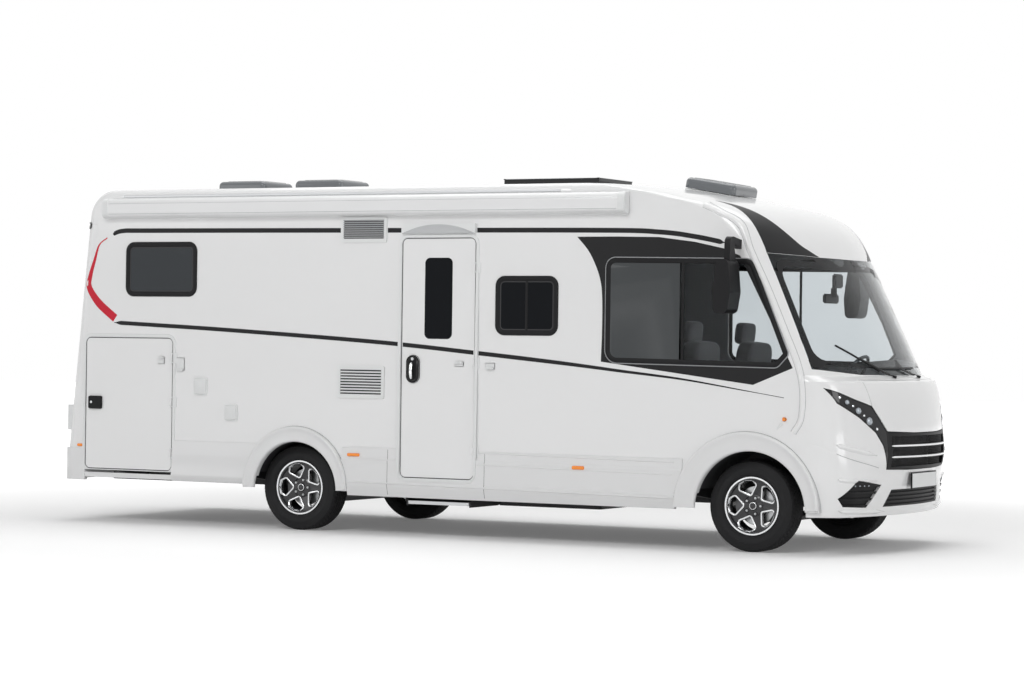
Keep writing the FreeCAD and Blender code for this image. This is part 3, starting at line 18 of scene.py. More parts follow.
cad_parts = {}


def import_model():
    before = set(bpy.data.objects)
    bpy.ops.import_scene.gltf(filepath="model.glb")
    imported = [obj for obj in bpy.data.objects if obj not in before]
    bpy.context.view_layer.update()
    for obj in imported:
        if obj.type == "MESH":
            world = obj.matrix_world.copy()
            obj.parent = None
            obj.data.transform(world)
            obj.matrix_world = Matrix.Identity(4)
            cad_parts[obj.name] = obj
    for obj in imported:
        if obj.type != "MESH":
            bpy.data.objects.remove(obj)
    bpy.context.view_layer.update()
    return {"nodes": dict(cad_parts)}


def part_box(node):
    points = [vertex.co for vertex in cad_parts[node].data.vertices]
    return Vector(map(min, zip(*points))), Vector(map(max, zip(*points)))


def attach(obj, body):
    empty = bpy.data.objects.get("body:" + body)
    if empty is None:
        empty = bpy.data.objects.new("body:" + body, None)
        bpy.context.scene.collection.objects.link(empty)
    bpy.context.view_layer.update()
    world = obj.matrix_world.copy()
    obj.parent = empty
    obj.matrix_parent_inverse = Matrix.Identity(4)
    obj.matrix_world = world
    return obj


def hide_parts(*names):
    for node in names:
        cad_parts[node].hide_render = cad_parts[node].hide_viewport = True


LOG = logging.getLogger("motorhome")
# A ray that lands farther than this from the one before it has gone through an opening.
JUMP = 0.12
# Rays start this far outside the vehicle.
REACH = 6.0
# Depth of a strip's underside below the skin, and of the rim of bands, buttons and plaques.
SUNK = 0.0006
BURIED = 0.001
# Height of painted lines and fields over the skin.
THIN = 0.0008
# Middle point of a plaque's rounded edge, as a share of its radius.
RIM_SHARE = 0.3
# Roughness of the clear coat of every finish that has one.
COAT_ROUGHNESS = 0.04
# Solids that the lines and frames of each side are pressed onto.
OUTER_RIGHT = ("side_wall_right", "side_windows", "entrance_door", "door_window", "garage_door_right",
               "side_skirts", "front_mask", "front_bumper", "rear_wall", "roof_panel")
OUTER_LEFT = ("side_wall_left", "side_windows", "garage_door_left", "side_skirts", "front_mask",
              "front_bumper", "rear_wall", "roof_panel")
Points = np.ndarray
Colour = tuple[float, float, float]


class Side(Enum):
    """A side of the vehicle, as the sign of Y."""

    RIGHT = -1
    LEFT = 1


@dataclass(frozen=True)
class Finish:
    """One surface finish: its colours, gloss and the grain that breaks them up."""

    name: str
    colour: Colour
    roughness: float = 0.5
    metallic: float = 0.0
    coat: float = 0.0
    transmission: float = 0.0
    specular: float = 0.5
    sheen: float = 0.0
    grain_size: float = 0.004
    grain_height: float = 0.02
    mottle: float = 0.03
    mottle_size: float = 0.4
    gloss_spread: float = 0.08
    ior: float = 1.45


@dataclass(frozen=True)
class Finishes:
    """Every finish of the vehicle."""

    gelcoat: Finish = Finish("gelcoat", (0.812, 0.814, 0.816), 0.22, coat=0.5, grain_size=0.05,
                             grain_height=0.004,
                             mottle=0.008, mottle_size=1.5, gloss_spread=0.015)
    # The skirt white is the gelcoat white made darker: painted shade for skirts that turn in at the bottom
    # towards the floor.
    skirt: Finish = Finish("skirt_paint_shaded", (0.755, 0.757, 0.76), 0.28, coat=0.35, grain_height=0.002,
                            grain_size=0.05, mottle=0.006, mottle_size=1.5, gloss_spread=0.01)
    white_plastic: Finish = Finish("white_plastic", (0.76, 0.77, 0.77), 0.42, grain_size=0.0015,
                                   grain_height=0.05,
                                    mottle=0.008, gloss_spread=0.02)
    grey_plastic: Finish = Finish("grey_plastic", (0.33, 0.34, 0.35), 0.5, grain_size=0.0015,
                                  grain_height=0.06)
    black_plastic: Finish = Finish("black_plastic", (0.012, 0.012, 0.013), 0.42, specular=0.16,
                                   grain_size=0.0014, grain_height=0.1)
    gloss_black: Finish = Finish("gloss_black", (0.008, 0.008, 0.009), 0.08, coat=0.2, specular=0.35,
                                 grain_height=0.002)
    seal: Finish = Finish("rubber_seal", (0.022, 0.022, 0.024), 0.62, grain_size=0.002, grain_height=0.08)
    decal_black: Finish = Finish("decal_black", (0.018, 0.018, 0.019), 0.34, coat=0.03, specular=0.16,
                                 grain_height=0.003)
    decal_red: Finish = Finish("decal_red", (0.56, 0.006, 0.026), 0.34, coat=0.06, specular=0.35,
                               grain_height=0.003)
    amber: Finish = Finish("amber_lens", (0.95, 0.27, 0.02), 0.16, coat=0.5, grain_size=0.004,
                           grain_height=0.25)
    red_lens: Finish = Finish("red_lens", (0.45, 0.008, 0.012), 0.14, coat=0.5, grain_size=0.005,
                              grain_height=0.2)
    screen_glass: Finish = Finish("screen_glass", (0.79, 0.82, 0.835), 0.015, transmission=1.0, ior=1.18,
                                   specular=0.2, grain_height=0.0)
    cab_glass: Finish = Finish("cab_glass", (0.735, 0.765, 0.78), 0.02, transmission=1.0, ior=1.22,
                               grain_height=0.0)
    dark_pane: Finish = Finish("dark_pane", (0.006, 0.007, 0.009), 0.06, specular=0.1, grain_height=0.0)
    acrylic: Finish = Finish("smoked_acrylic", (0.026, 0.031, 0.036), 0.06, specular=0.42, grain_size=0.3,
                             grain_height=0.03)
    dome: Finish = Finish("smoked_dome", (0.13, 0.14, 0.15), 0.1, coat=0.4, specular=0.5, grain_height=0.0)
    tyre: Finish = Finish("tyre_rubber", (0.015, 0.015, 0.016), 0.72, specular=0.3, grain_size=0.003,
                          grain_height=0.25,
                          mottle=0.18, mottle_size=0.05)
    alloy_black: Finish = Finish("alloy_black", (0.014, 0.014, 0.016), 0.24, metallic=0.2, coat=0.5)
    alloy_bright: Finish = Finish("alloy_turned", (0.72, 0.73, 0.74), 0.22, metallic=1.0, grain_size=0.0012,
                                  grain_height=0.03)
    steel: Finish = Finish("bright_steel", (0.55, 0.56, 0.57), 0.34, metallic=1.0, grain_size=0.002,
                           grain_height=0.05)
    chrome: Finish = Finish("chrome", (0.78, 0.79, 0.8), 0.07, metallic=1.0, grain_height=0.0)
    chassis: Finish = Finish("chassis_paint", (0.02, 0.02, 0.022), 0.5, grain_size=0.01, grain_height=0.1)
    casting: Finish = Finish("bare_casting", (0.16, 0.16, 0.165), 0.58, metallic=0.7, grain_size=0.004,
                             grain_height=0.3, mottle=0.2)
    aluminium: Finish = Finish("brushed_aluminium", (0.56, 0.57, 0.58), 0.36, metallic=1.0, grain_size=0.002,
                               grain_height=0.08)
    awning: Finish = Finish("awning_paint", (0.81, 0.813, 0.817), 0.3, coat=0.2, grain_size=0.006,
                            grain_height=0.01,
                             mottle=0.006, gloss_spread=0.01)
    tank: Finish = Finish("tank_plastic", (0.03, 0.03, 0.032), 0.48, grain_size=0.006, grain_height=0.15)
    board: Finish = Finish("floor_board", (0.2, 0.155, 0.11), 0.55, grain_size=0.02, grain_height=0.1,
                           mottle=0.25)
    dash: Finish = Finish("dash_plastic", (0.055, 0.058, 0.062), 0.55, grain_size=0.0016, grain_height=0.2)
    trim_light: Finish = Finish("inner_trim", (0.26, 0.27, 0.28), 0.6, grain_size=0.003, grain_height=0.08)
    mirror_glass: Finish = Finish("mirror_glass", (0.85, 0.86, 0.87), 0.02, metallic=1.0, grain_height=0.0)
    cell: Finish = Finish("solar_cells", (0.012, 0.016, 0.032), 0.18, coat=0.6)
    hood_grey: Finish = Finish("hood_grey", (0.5, 0.51, 0.52), 0.22, coat=0.3, grain_height=0.003)
    tinted: Finish = Finish("tinted_glass", (0.048, 0.053, 0.056), 0.05, specular=0.4, grain_height=0.0)
    blind: Finish = Finish("pleated_blind", (0.16, 0.165, 0.17), 0.8, grain_size=0.003, grain_height=0.2)
    lamp_glass: Finish = Finish("lamp_glass", (0.3, 0.33, 0.36), 0.04, metallic=0.6, coat=1.0,
                                grain_height=0.0)
    lamp_bright: Finish = Finish("lamp_bright", (0.8, 0.82, 0.84), 0.08, metallic=0.8, coat=1.0,
                                 grain_height=0.0)
    cloth: Finish = Finish("seat_cloth", (0.115, 0.115, 0.12), 0.85, sheen=0.3, grain_size=0.0022,
                           grain_height=0.5,
                           mottle=0.12, mottle_size=0.01)


FINISH = Finishes()


class MaterialShop:
    """Makes each finish's material once, with one shared grain group."""

    def __init__(self) -> None:
        """Starts with no material and the shared group."""
        self.made: dict[str, bpy.types.Material] = {}
        self.grain = self._grain_group()

    @staticmethod
    def _grain_group() -> bpy.types.NodeTree:
        """Node group that mottles the colour, varies the roughness and gives a fine height.

        The colour is scaled by 1 + mottle * (broad noise - 0.5), and the roughness grows by spread * (broad
        noise - 0.5). The height is the fine noise. Both noises are taken at Object coordinates.

        Returns:
            The group.
        """
        tree = bpy.data.node_groups.new("surface_grain", "ShaderNodeTree")
        for name, kind in (("Colour", "NodeSocketColor"), ("Roughness", "NodeSocketFloat"),
                           ("Grain scale", "NodeSocketFloat"), ("Mottle scale", "NodeSocketFloat"),
                           ("Mottle", "NodeSocketFloat"), ("Spread", "NodeSocketFloat")):
            tree.interface.new_socket(name, in_out="INPUT", socket_type=kind)
        for name, kind in (("Colour", "NodeSocketColor"), ("Roughness", "NodeSocketFloat"),
                           ("Height", "NodeSocketFloat")):
            tree.interface.new_socket(name, in_out="OUTPUT", socket_type=kind)
        nodes, links = tree.nodes, tree.links
        inputs, outputs = nodes.new("NodeGroupInput"), nodes.new("NodeGroupOutput")
        place = nodes.new("ShaderNodeTexCoord")
        fine, broad = nodes.new("ShaderNodeTexNoise"), nodes.new("ShaderNodeTexNoise")
        fine.inputs["Detail"].default_value = 3.0
        broad.inputs["Detail"].default_value = 4.0
        for noise, scale in ((fine, "Grain scale"), (broad, "Mottle scale")):
            links.new(place.outputs["Object"], noise.inputs["Vector"])
            links.new(inputs.outputs[scale], noise.inputs["Scale"])
        centred, shade, gloss = (nodes.new("ShaderNodeMath") for _ in range(3))
        centred.operation, shade.operation, gloss.operation = "SUBTRACT", "MULTIPLY_ADD", "MULTIPLY_ADD"
        centred.inputs[1].default_value, shade.inputs[2].default_value = 0.5, 1.0
        tint = nodes.new("ShaderNodeVectorMath")
        tint.operation = "SCALE"
        for source, target in ((broad.outputs["Fac"], centred.inputs[0]),
                               (centred.outputs[0], shade.inputs[0]),
                               (inputs.outputs["Mottle"], shade.inputs[1]),
                               (inputs.outputs["Colour"], tint.inputs[0]),
                               (shade.outputs[0], tint.inputs["Scale"]), (centred.outputs[0], gloss.inputs[0]),
                               (inputs.outputs["Spread"], gloss.inputs[1]),
                               (inputs.outputs["Roughness"], gloss.inputs[2]),
                               (tint.outputs["Vector"], outputs.inputs["Colour"]),
                               (gloss.outputs[0], outputs.inputs["Roughness"]),
                               (fine.outputs["Fac"], outputs.inputs["Height"])):
            links.new(source, target)
        return tree

    def get(self, finish: Finish) -> bpy.types.Material:
        """Material of a finish.

        Args:
            finish: The finish wanted.

        Returns:
            Its material, made on first use.
        """
        if finish.name in self.made:
            return self.made[finish.name]
        material = bpy.data.materials.new(finish.name)
        material.use_nodes = True
        nodes, links = material.node_tree.nodes, material.node_tree.links
        shader = nodes["Principled BSDF"]
        grain = nodes.new("ShaderNodeGroup")
        grain.node_tree = self.grain
        grain_values = {"Colour": (*finish.colour, 1.0), "Roughness": finish.roughness,
                        "Grain scale": 1.0 / finish.grain_size, "Mottle scale": 1.0 / finish.mottle_size,
                        "Mottle": finish.mottle * 2, "Spread": finish.gloss_spread}
        shader_values = {"Metallic": finish.metallic, "Coat Weight": finish.coat,
                         "Coat Roughness": COAT_ROUGHNESS, "Transmission Weight": finish.transmission,
                         "Specular IOR Level": finish.specular, "Sheen Weight": finish.sheen,
                         "IOR": finish.ior}
        for node, values in ((grain, grain_values), (shader, shader_values)):
            for name, value in values.items():
                node.inputs[name].default_value = value
        links.new(grain.outputs["Colour"], shader.inputs["Base Color"])
        links.new(grain.outputs["Roughness"], shader.inputs["Roughness"])
        if finish.grain_height > 0:
            bump = nodes.new("ShaderNodeBump")
            bump.inputs["Strength"].default_value = finish.grain_height
            bump.inputs["Distance"].default_value = finish.grain_size * 0.4
            links.new(grain.outputs["Height"], bump.inputs["Height"])
            links.new(bump.outputs["Normal"], shader.inputs["Normal"])
        material.diffuse_color = (*finish.colour, 1.0)
        self.made[finish.name] = material
        return material


SHOP: MaterialShop
FRAME: dict
REAR_AXLE: float
HALF_WIDTH: float
SKINS: dict["View", "Skin"] = {}


@dataclass(frozen=True)
class Piece:
    """What a new piece is made of and rides on."""

    finish: Finish
    body: str = "coach"
    slot: str = "black_plastic"


WHITE = Piece(FINISH.white_plastic, slot="white_plastic")
BLACK = Piece(FINISH.black_plastic)
GREY = Piece(FINISH.grey_plastic)
SEAL = Piece(FINISH.seal)
# Skirt pieces in the darker skirt white, which is painted shade.
SKIRT_SHADED = Piece(FINISH.skirt, slot="skirt_white")
BODY = Piece(FINISH.gelcoat, slot="body_white")


def place_mesh(name: str, points: Points, faces: list, piece: Piece, smooth: float = 35.0) -> bpy.types.Object:
    """New piece from points and faces, dressed and riding on its body.

    Args:
        name: Piece name.
        points: Array of places, (n, 3) or of more rows of them.
        faces: Lists of corner indices.
        piece: Finish, body and slot.
        smooth: Edges sharper than this angle in degrees stay crisp.

    Returns:
        The piece.
    """
    mesh = bpy.data.meshes.new(name)
    mesh.from_pydata(points.reshape(-1, 3).tolist(), [], faces)
    mesh.validate()
    mesh.update()
    mesh.polygons.foreach_set("use_smooth", [True] * len(mesh.polygons))
    mesh.set_sharp_from_angle(angle=radians(smooth))
    return dressed(name, mesh, piece)


def dressed(name: str, mesh: bpy.types.Mesh, piece: Piece) -> bpy.types.Object:
    """Object of a mesh with its material, on its body.

    Args:
        name: Piece name.
        mesh: Its finished mesh.
        piece: Finish, body and slot.

    Returns:
        The object.
    """
    made = bpy.data.objects.new(name, mesh)
    bpy.context.scene.collection.objects.link(made)
    mesh.materials.append(SHOP.get(piece.finish))
    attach(made, piece.body)
    LOG.info("%s: %d faces on %s", name, len(mesh.polygons), piece.body)
    return made


def outward(made: bpy.types.Object, merge: float = 0.0) -> bpy.types.Object:
    """Turns every face of a closed piece outwards.

    Args:
        made: The piece.
        merge: Points nearer than this are joined first, if it is above zero.

    Returns:
        The same piece.
    """
    mesh = bmesh.new()
    mesh.from_mesh(made.data)
    if merge > 0:
        bmesh.ops.remove_doubles(mesh, verts=mesh.verts, dist=merge)
    bmesh.ops.recalc_face_normals(mesh, faces=mesh.faces)
    mesh.to_mesh(made.data)
    mesh.free()
    return made


def grid_faces(rows: int, columns: int, round_rows: bool = False, round_columns: bool = False) -> list:
    """Quads of a grid of points that are numbered row by row.

    Args:
        rows: Number of rows.
        columns: Points in each row.
        round_rows: Whether the last row joins the first.
        round_columns: Whether each row's last point joins its first.

    Returns:
        Four corner indices for each quad.
    """
    i = np.arange(rows if round_rows else rows - 1)
    j = np.arange(columns if round_columns else columns - 1)
    a, b = np.meshgrid(i, j, indexing="ij")
    c, d = (a + 1) % rows, (b + 1) % columns
    quads = np.stack([a * columns + b, a * columns + d, c * columns + d, c * columns + b], -1)
    return [tuple(q) for q in quads.reshape(-1, 4).tolist()]


def solid(name: str, rings: list[Points], piece: Piece, close: bool = True,
          smooth: float = 35.0) -> bpy.types.Object:
    """Closed piece whose faces run from each ring of points to the next.

    Args:
        name: Piece name.
        rings: Arrays of (n, 3) places, all with as many.
        piece: Finish, body and slot.
        close: Whether the first and last rings are capped; if not, they are joined to each other.
        smooth: Edges sharper than this angle in degrees stay crisp.

    Returns:
        The piece.
    """
    stack = np.stack(rings)
    rows, columns = stack.shape[:2]
    faces = grid_faces(rows, columns, round_rows=not close, round_columns=True)
    if close:
        faces.append(tuple(range(columns))[::-1])
        faces.append(tuple((rows - 1) * columns + np.arange(columns)))
    return outward(place_mesh(name, stack, faces, piece, smooth))


def rounded_outline(corners: Points, radii: float | tuple, steps: int = 7) -> Points:
    """Outline of a polygon with each corner turned by an arc.

    Each arc's centre lies on the corner's bisector, and its points turn evenly from one tangent point to the
    next.

    Args:
        corners: Array of (n, 2) corners in order.
        radii: One radius, or one for each corner.
        steps: Points on each arc.

    Returns:
        Array of (n * steps, 2) points.
    """
    corners = np.asarray(corners, float)
    count = len(corners)
    radii = np.broadcast_to(np.asarray(radii, float), (count,))
    before, after = unit(np.roll(corners, 1, 0) - corners), unit(np.roll(corners, -1, 0) - corners)
    half = np.arccos(np.clip((before * after).sum(1), -1, 1)) / 2
    bisector = unit(before + after)
    centre = corners + bisector * (radii / np.sin(half))[:, None]
    start = corners + before * (radii / np.tan(half))[:, None] - centre
    turn = np.sign(before[:, 0] * after[:, 1] - before[:, 1] * after[:, 0])
    t = np.linspace(0, 1, steps)[None, :]
    angle = t * (-turn * (pi - 2 * half))[:, None]
    x = start[:, :1] * np.cos(angle) - start[:, 1:] * np.sin(angle)
    y = start[:, :1] * np.sin(angle) + start[:, 1:] * np.cos(angle)
    return (centre[:, None, :] + np.stack([x, y], -1)).reshape(-1, 2)


def shrunk(outline: Points, by: float) -> Points:
    """Outline moved inwards, each point along the normal to the mean of its two edges' directions.

    Args:
        outline: Array of (n, 2) places, closed.
        by: Distance; below zero, the outline grows.

    Returns:
        Array of (n, 2) places.
    """
    ahead = np.roll(outline, -1, 0) - outline
    back = outline - np.roll(outline, 1, 0)
    tangent = unit(ahead) + unit(back)
    area = 0.5 * np.sum(outline[:, 0] * np.roll(outline[:, 1], -1)
                        - np.roll(outline[:, 0], -1) * outline[:, 1])
    tangent = unit(tangent)
    normal = np.stack([-tangent[:, 1], tangent[:, 0]], 1) * np.sign(area)
    return outline + normal * by


def unit(vectors: Points) -> Points:
    """Vectors divided by their lengths."""
    return vectors / np.maximum(np.linalg.norm(vectors, axis=1, keepdims=True), 1e-9)


def insets(outline: Points, steps: tuple) -> list[tuple[Points, float]]:
    """Loops of an outline for a band of trim.

    Args:
        outline: Array of (n, 2) places, closed.
        steps: (distance inwards, height over the skin) of each loop.

    Returns:
        The moved outlines, each with its height.
    """
    return [(shrunk(outline, by), height) for by, height in steps]


@dataclass
class Studio:
    """Camera, floor and lights; a lamp is (name, place, what it aims at, size, watts)."""

    place: tuple[float, float, float] = (11.4007, -21.2097, 1.5599)
    heading: float = 28.181
    pitch: float = 0.027
    roll: float = 0.753
    focal_pixels: float = 2900.0
    image_width: float = 1024.0
    floor_half: float = 60.0
    near_light: float = 4.0
    far_light: float = 14.0
    near_glow: float = 0.13
    far_glow: float = 0.95
    sky: float = 0.34
    lamps: tuple = (("key", (1.5, -15, 10), (0, 0, 1.2), (7, 5), 840),
                    ("fill", (-14, -12, 6), (-1, 0, 1.2), (8, 6), 170),
                    ("front", (17, -3, 5), (3, 0, 1.2), (6, 6), 420),
                    ("top", (0, 2, 12), (0, 0, 0), (14, 8), 760))

    def build(self) -> None:
        """Makes the whole studio."""
        self._camera()
        self._floor()
        self._lights()

    def _camera(self) -> None:
        """Camera at the photograph's place: its axes from heading, pitch and roll."""
        a, p, r = radians(self.heading), radians(self.pitch), radians(self.roll)
        forward = Vector((-sin(a) * cos(p), cos(a) * cos(p), sin(p)))
        right = Vector((cos(a), sin(a), 0))
        up = right.cross(forward)
        right, up = cos(r) * right + sin(r) * up, -sin(r) * right + cos(r) * up
        data = bpy.data.cameras.new("camera")
        data.sensor_width = 36.0
        data.lens = data.sensor_width * self.focal_pixels / self.image_width
        data.clip_end = 200.0
        camera = bpy.data.objects.new("camera", data)
        axes = Matrix((right, up, -forward)).transposed().to_4x4()
        camera.matrix_world = Matrix.Translation(self.place) @ axes
        bpy.context.scene.collection.objects.link(camera)
        bpy.context.scene.camera = camera

    def _floor(self) -> None:
        """Pale floor that keeps its shadow near the vehicle and glows to white far away."""
        mesh = bpy.data.meshes.new("floor")
        h = self.floor_half
        mesh.from_pydata([(-h, -h, 0), (h, -h, 0), (h, h, 0), (-h, h, 0)], [], [(0, 1, 2, 3)])
        floor = bpy.data.objects.new("floor", mesh)
        bpy.context.scene.collection.objects.link(floor)
        material = bpy.data.materials.new("studio_floor")
        material.use_nodes = True
        nodes, links = material.node_tree.nodes, material.node_tree.links
        shader = nodes["Principled BSDF"]
        shader.inputs["Base Color"].default_value = (0.9, 0.9, 0.9, 1)
        shader.inputs["Roughness"].default_value = 0.9
        shader.inputs["Specular IOR Level"].default_value = 0.1
        place = nodes.new("ShaderNodeTexCoord")
        reach = nodes.new("ShaderNodeVectorMath")
        reach.operation = "LENGTH"
        glow = nodes.new("ShaderNodeMapRange")
        glow.interpolation_type = "SMOOTHSTEP"
        for name, value in (("From Min", self.near_light), ("From Max", self.far_light),
                            ("To Min", self.near_glow), ("To Max", self.far_glow)):
            glow.inputs[name].default_value = value
        links.new(place.outputs["Object"], reach.inputs[0])
        links.new(reach.outputs["Value"], glow.inputs["Value"])
        shown = nodes.new("ShaderNodeMath")
        shown.operation = "MULTIPLY"
        links.new(glow.outputs["Result"], shown.inputs[0])
        links.new(self._seen(nodes, links), shown.inputs[1])
        links.new(shown.outputs[0], shader.inputs["Emission Color"])
        shader.inputs["Emission Strength"].default_value = 1.0
        mesh.materials.append(material)

    @staticmethod
    def _seen(nodes: bpy.types.Nodes, links: bpy.types.NodeLinks) -> bpy.types.NodeSocket:
        """Mask of the rays that show the background: to the camera, by reflection and through glass.

        Args:
            nodes: Nodes of the material or world.
            links: Its links.

        Returns:
            A socket that is 1 for those rays and 0 for the rest.
        """
        path = nodes.new("ShaderNodeLightPath")
        total = path.outputs["Is Camera Ray"]
        for kind in ("Is Transmission Ray", "Is Glossy Ray"):
            either = nodes.new("ShaderNodeMath")
            either.operation = "MAXIMUM"
            links.new(total, either.inputs[0])
            links.new(path.outputs[kind], either.inputs[1])
            total = either.outputs[0]
        return total

    def _lights(self) -> None:
        """White world and large soft lamps."""
        world = bpy.data.worlds.new("studio")
        world.use_nodes = True
        nodes, links = world.node_tree.nodes, world.node_tree.links
        backdrop = nodes["Background"]
        backdrop.inputs["Color"].default_value = (1, 1, 1, 1)
        strength = nodes.new("ShaderNodeMapRange")
        strength.inputs["To Min"].default_value = self.sky
        strength.inputs["To Max"].default_value = 1.0
        links.new(self._seen(nodes, links), strength.inputs["Value"])
        links.new(strength.outputs["Result"], backdrop.inputs["Strength"])
        bpy.context.scene.world = world
        for name, place, aim, size, power in self.lamps:
            data = bpy.data.lights.new(name, "AREA")
            data.shape = "RECTANGLE"
            data.size, data.size_y = size
            data.energy = power
            lamp = bpy.data.objects.new(name, data)
            look = Vector(aim) - Vector(place)
            lamp.matrix_world = Matrix.Translation(place) @ look.to_track_quat("-Z", "Y").to_matrix().to_4x4()
            bpy.context.scene.collection.objects.link(lamp)
        bpy.context.scene.view_settings.view_transform = "Standard"


def dressing() -> dict[str, Finish]:
    """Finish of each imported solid, by node name."""
    names = {
        FINISH.gelcoat: "side_wall_right side_wall_left rear_wall roof_panel front_mask front_bumper bonnet "
                        "entrance_door garage_door_right garage_door_left",
        # Skirts and rear bumper get the darker skirt white, painted shade.
        FINISH.skirt: "side_skirts rear_bumper",
        FINISH.screen_glass: "windscreen",
        FINISH.cab_glass: "side_windows",
        FINISH.dark_pane: "door_window",
        FINISH.black_plastic: "grille mirrors wipers",
        FINISH.chassis: "chassis_frame front_subframe",
        FINISH.board: "floor_panel",
        FINISH.awning: "awning",
        FINISH.casting: "rear_axle knuckle_right knuckle_left engine_block",
        FINISH.tank: "underfloor_tanks",
        FINISH.dash: "dashboard steering_wheel",
        FINISH.cloth: "cab_seats",
        FINISH.gloss_black: "lamps solar_panel",
        FINISH.dome: "hatch_lid_rear hatch_lid_middle skylight_lid",
        FINISH.white_plastic: "body_fittings",
        FINISH.aluminium: "entry_step",
        FINISH.tyre: "tyre_rear_right tyre_rear_left tyre_front_right tyre_front_left",
        FINISH.alloy_black: "rim_rear_right rim_rear_left rim_front_right rim_front_left"}
    return {name: finish for finish, group in names.items() for name in group.split()}


@dataclass
class Panels:
    """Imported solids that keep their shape: their finish, second finishes and softened edges."""

    edge: float = 0.0015
    crease: float = 32.0
    weld: float = 1e-5
    rounded: dict[str, float] = field(default_factory=lambda: {
        "mirrors": 0.012, "hatch_lid_rear": 0.01, "hatch_lid_middle": 0.01, "skylight_lid": 0.01})
    softened: str = ("side_wall_right side_wall_left rear_wall roof_panel front_bumper bonnet entrance_door "
                     "garage_door_right garage_door_left side_skirts rear_bumper awning body_fittings "
                     "engine_block chassis_frame rear_axle front_subframe entry_step dashboard")
    cab_middle: tuple[float, float, float] = (2.4, 0.0, 1.8)
    cab_lining: tuple[float, float] = (1.9, 1.3)
    floor_under: float = 0.62
    cab_windows: float = 2.7
    housing: float = 0.72
    facing: float = 0.6
    lined: dict[str, tuple] = field(default_factory=lambda: {
        "side_wall_right": (0, 1, 0), "side_wall_left": (0, -1, 0), "roof_panel": (0, 0, -1),
        "rear_wall": (1, 0, 0)})

    def build(self, nodes: dict[str, bpy.types.Object]) -> None:
        """Gives each solid its finish and softens the edges of the panels.

        Args:
            nodes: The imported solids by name.
        """
        for name, finish in dressing().items():
            node = nodes[name]
            node.data.materials.clear()
            node.data.materials.append(SHOP.get(finish))
            self._split(node, name)
            if name in self.softened.split() or name in self.rounded:
                node.modifiers.new("weld", "WELD").merge_threshold = self.weld
                bevel = node.modifiers.new("bevel", "BEVEL")
                bevel.width = self.rounded.get(name, self.edge)
                bevel.segments = 4 if name in self.rounded else 2
                bevel.limit_method = "ANGLE"
                bevel.angle_limit = radians(self.crease)
                bevel.use_clamp_overlap = True

    def _split(self, node: bpy.types.Object, name: str) -> None:
        """Gives chosen faces of a solid a second finish, picked by where they are and which way they face.

        The walls, roof and mask get their inner lining, the floor its dark underside and wheel housings, the
        side windows their dark panes, and the tail lamps their pale housings.

        Args:
            node: The solid.
            name: Its node name.
        """
        count = len(node.data.polygons)
        centre, normal = np.empty(count * 3), np.empty(count * 3)
        node.data.polygons.foreach_get("center", centre)
        node.data.polygons.foreach_get("normal", normal)
        centre, normal = centre.reshape(-1, 3), normal.reshape(-1, 3)
        chosen = normal @ np.array(self.lined.get(name, (0, 0, 0))) > self.facing
        second = FINISH.trim_light
        if name == "front_mask":
            chosen = np.einsum("ij,ij->i", normal, centre - np.array(self.cab_middle)) < 0
            x, z = self.cab_lining
            chosen &= (centre[:, 2] > z) & (centre[:, 0] > x) & (normal[:, 2] < 0.5)
        elif name == "floor_panel":
            chosen, second = (normal[:, 2] < -0.7) & (centre[:, 2] < self.floor_under), FINISH.chassis
            for wheel in ("tyre_rear_right", "tyre_rear_left", "tyre_front_right", "tyre_front_left"):
                low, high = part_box(wheel)
                away = centre - np.array((low + high) / 2)
                inner = np.einsum("ij,ij->i", normal, away) < 0
                chosen |= inner & (np.linalg.norm(away, axis=1) < self.housing)
        elif name == "side_windows":
            chosen, second = centre[:, 0] < along_rear(self.cab_windows), FINISH.acrylic
        elif name == "lamps":
            chosen, second = centre[:, 0] < REAR_AXLE, FINISH.white_plastic
        if chosen.any():
            node.data.materials.append(SHOP.get(second))
            slots = chosen.astype(int)
            if name == "side_windows":
                node.data.materials.append(SHOP.get(FINISH.dark_pane))
                slots += chosen & (centre[:, 0] > REAR_AXLE)
            node.data.polygons.foreach_set("material_index", slots)


class Skin:
    """Outside of some solids, found by rays."""

    def __init__(self, *names: str, hugging: bool = False) -> None:
        """Joins the meshes of the named nodes.

        Args:
            names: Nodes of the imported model.
            hugging: Whether a ray that misses takes the nearest place of the skin.
        """
        self.hugging = hugging
        corners: list = []
        faces: list = []
        for name in names:
            node = FRAME["nodes"][name]
            mesh = node.data
            points = np.empty(len(mesh.vertices) * 3)
            mesh.vertices.foreach_get("co", points)
            starts = np.empty(len(mesh.polygons), np.int32)
            mesh.polygons.foreach_get("loop_start", starts)
            index = np.empty(len(mesh.loops), np.int32)
            mesh.loops.foreach_get("vertex_index", index)
            faces += [(run + len(corners)).tolist() for run in np.split(index, starts[1:])]
            place = np.array(node.matrix_world)
            corners += (points.reshape(-1, 3) @ place[:3, :3].T + place[:3, 3]).tolist()
        self.tree = BVHTree.FromPolygons(corners, faces)

    def cast(self, starts: Points, along: Vector, height: float) -> Points:
        """Places where rays meet the skin, raised off it along its smoothed normals.

        Args:
            starts: Array of (n, 3) ray starts, outside the solids.
            along: Direction of every ray.
            height: Height over the surface.

        Returns:
            Array of (n, 3) places. A ray that misses, or that jumps through an opening, keeps the depth of the
            ray before it.
        """
        rays = [self.tree.ray_cast(Vector(start), along) for start in starts]
        reached = [ray[3] for ray in rays if ray[0] is not None]
        depth = float(np.median(reached[:9]))
        normal = -along
        places, normals = [], []
        for start, (hit, face_normal, _, distance) in zip(starts, rays):
            place = Vector(start) + along * depth
            if hit is not None and abs(distance - depth) < JUMP:
                place, depth = hit, distance
                normal = face_normal if face_normal.dot(along) < 0 else -face_normal
            elif self.hugging:
                place = self.tree.find_nearest(place)[0]
            places.append(place)
            normals.append(normal)
        return np.array(places) + smoothed(np.array(normals)) * height


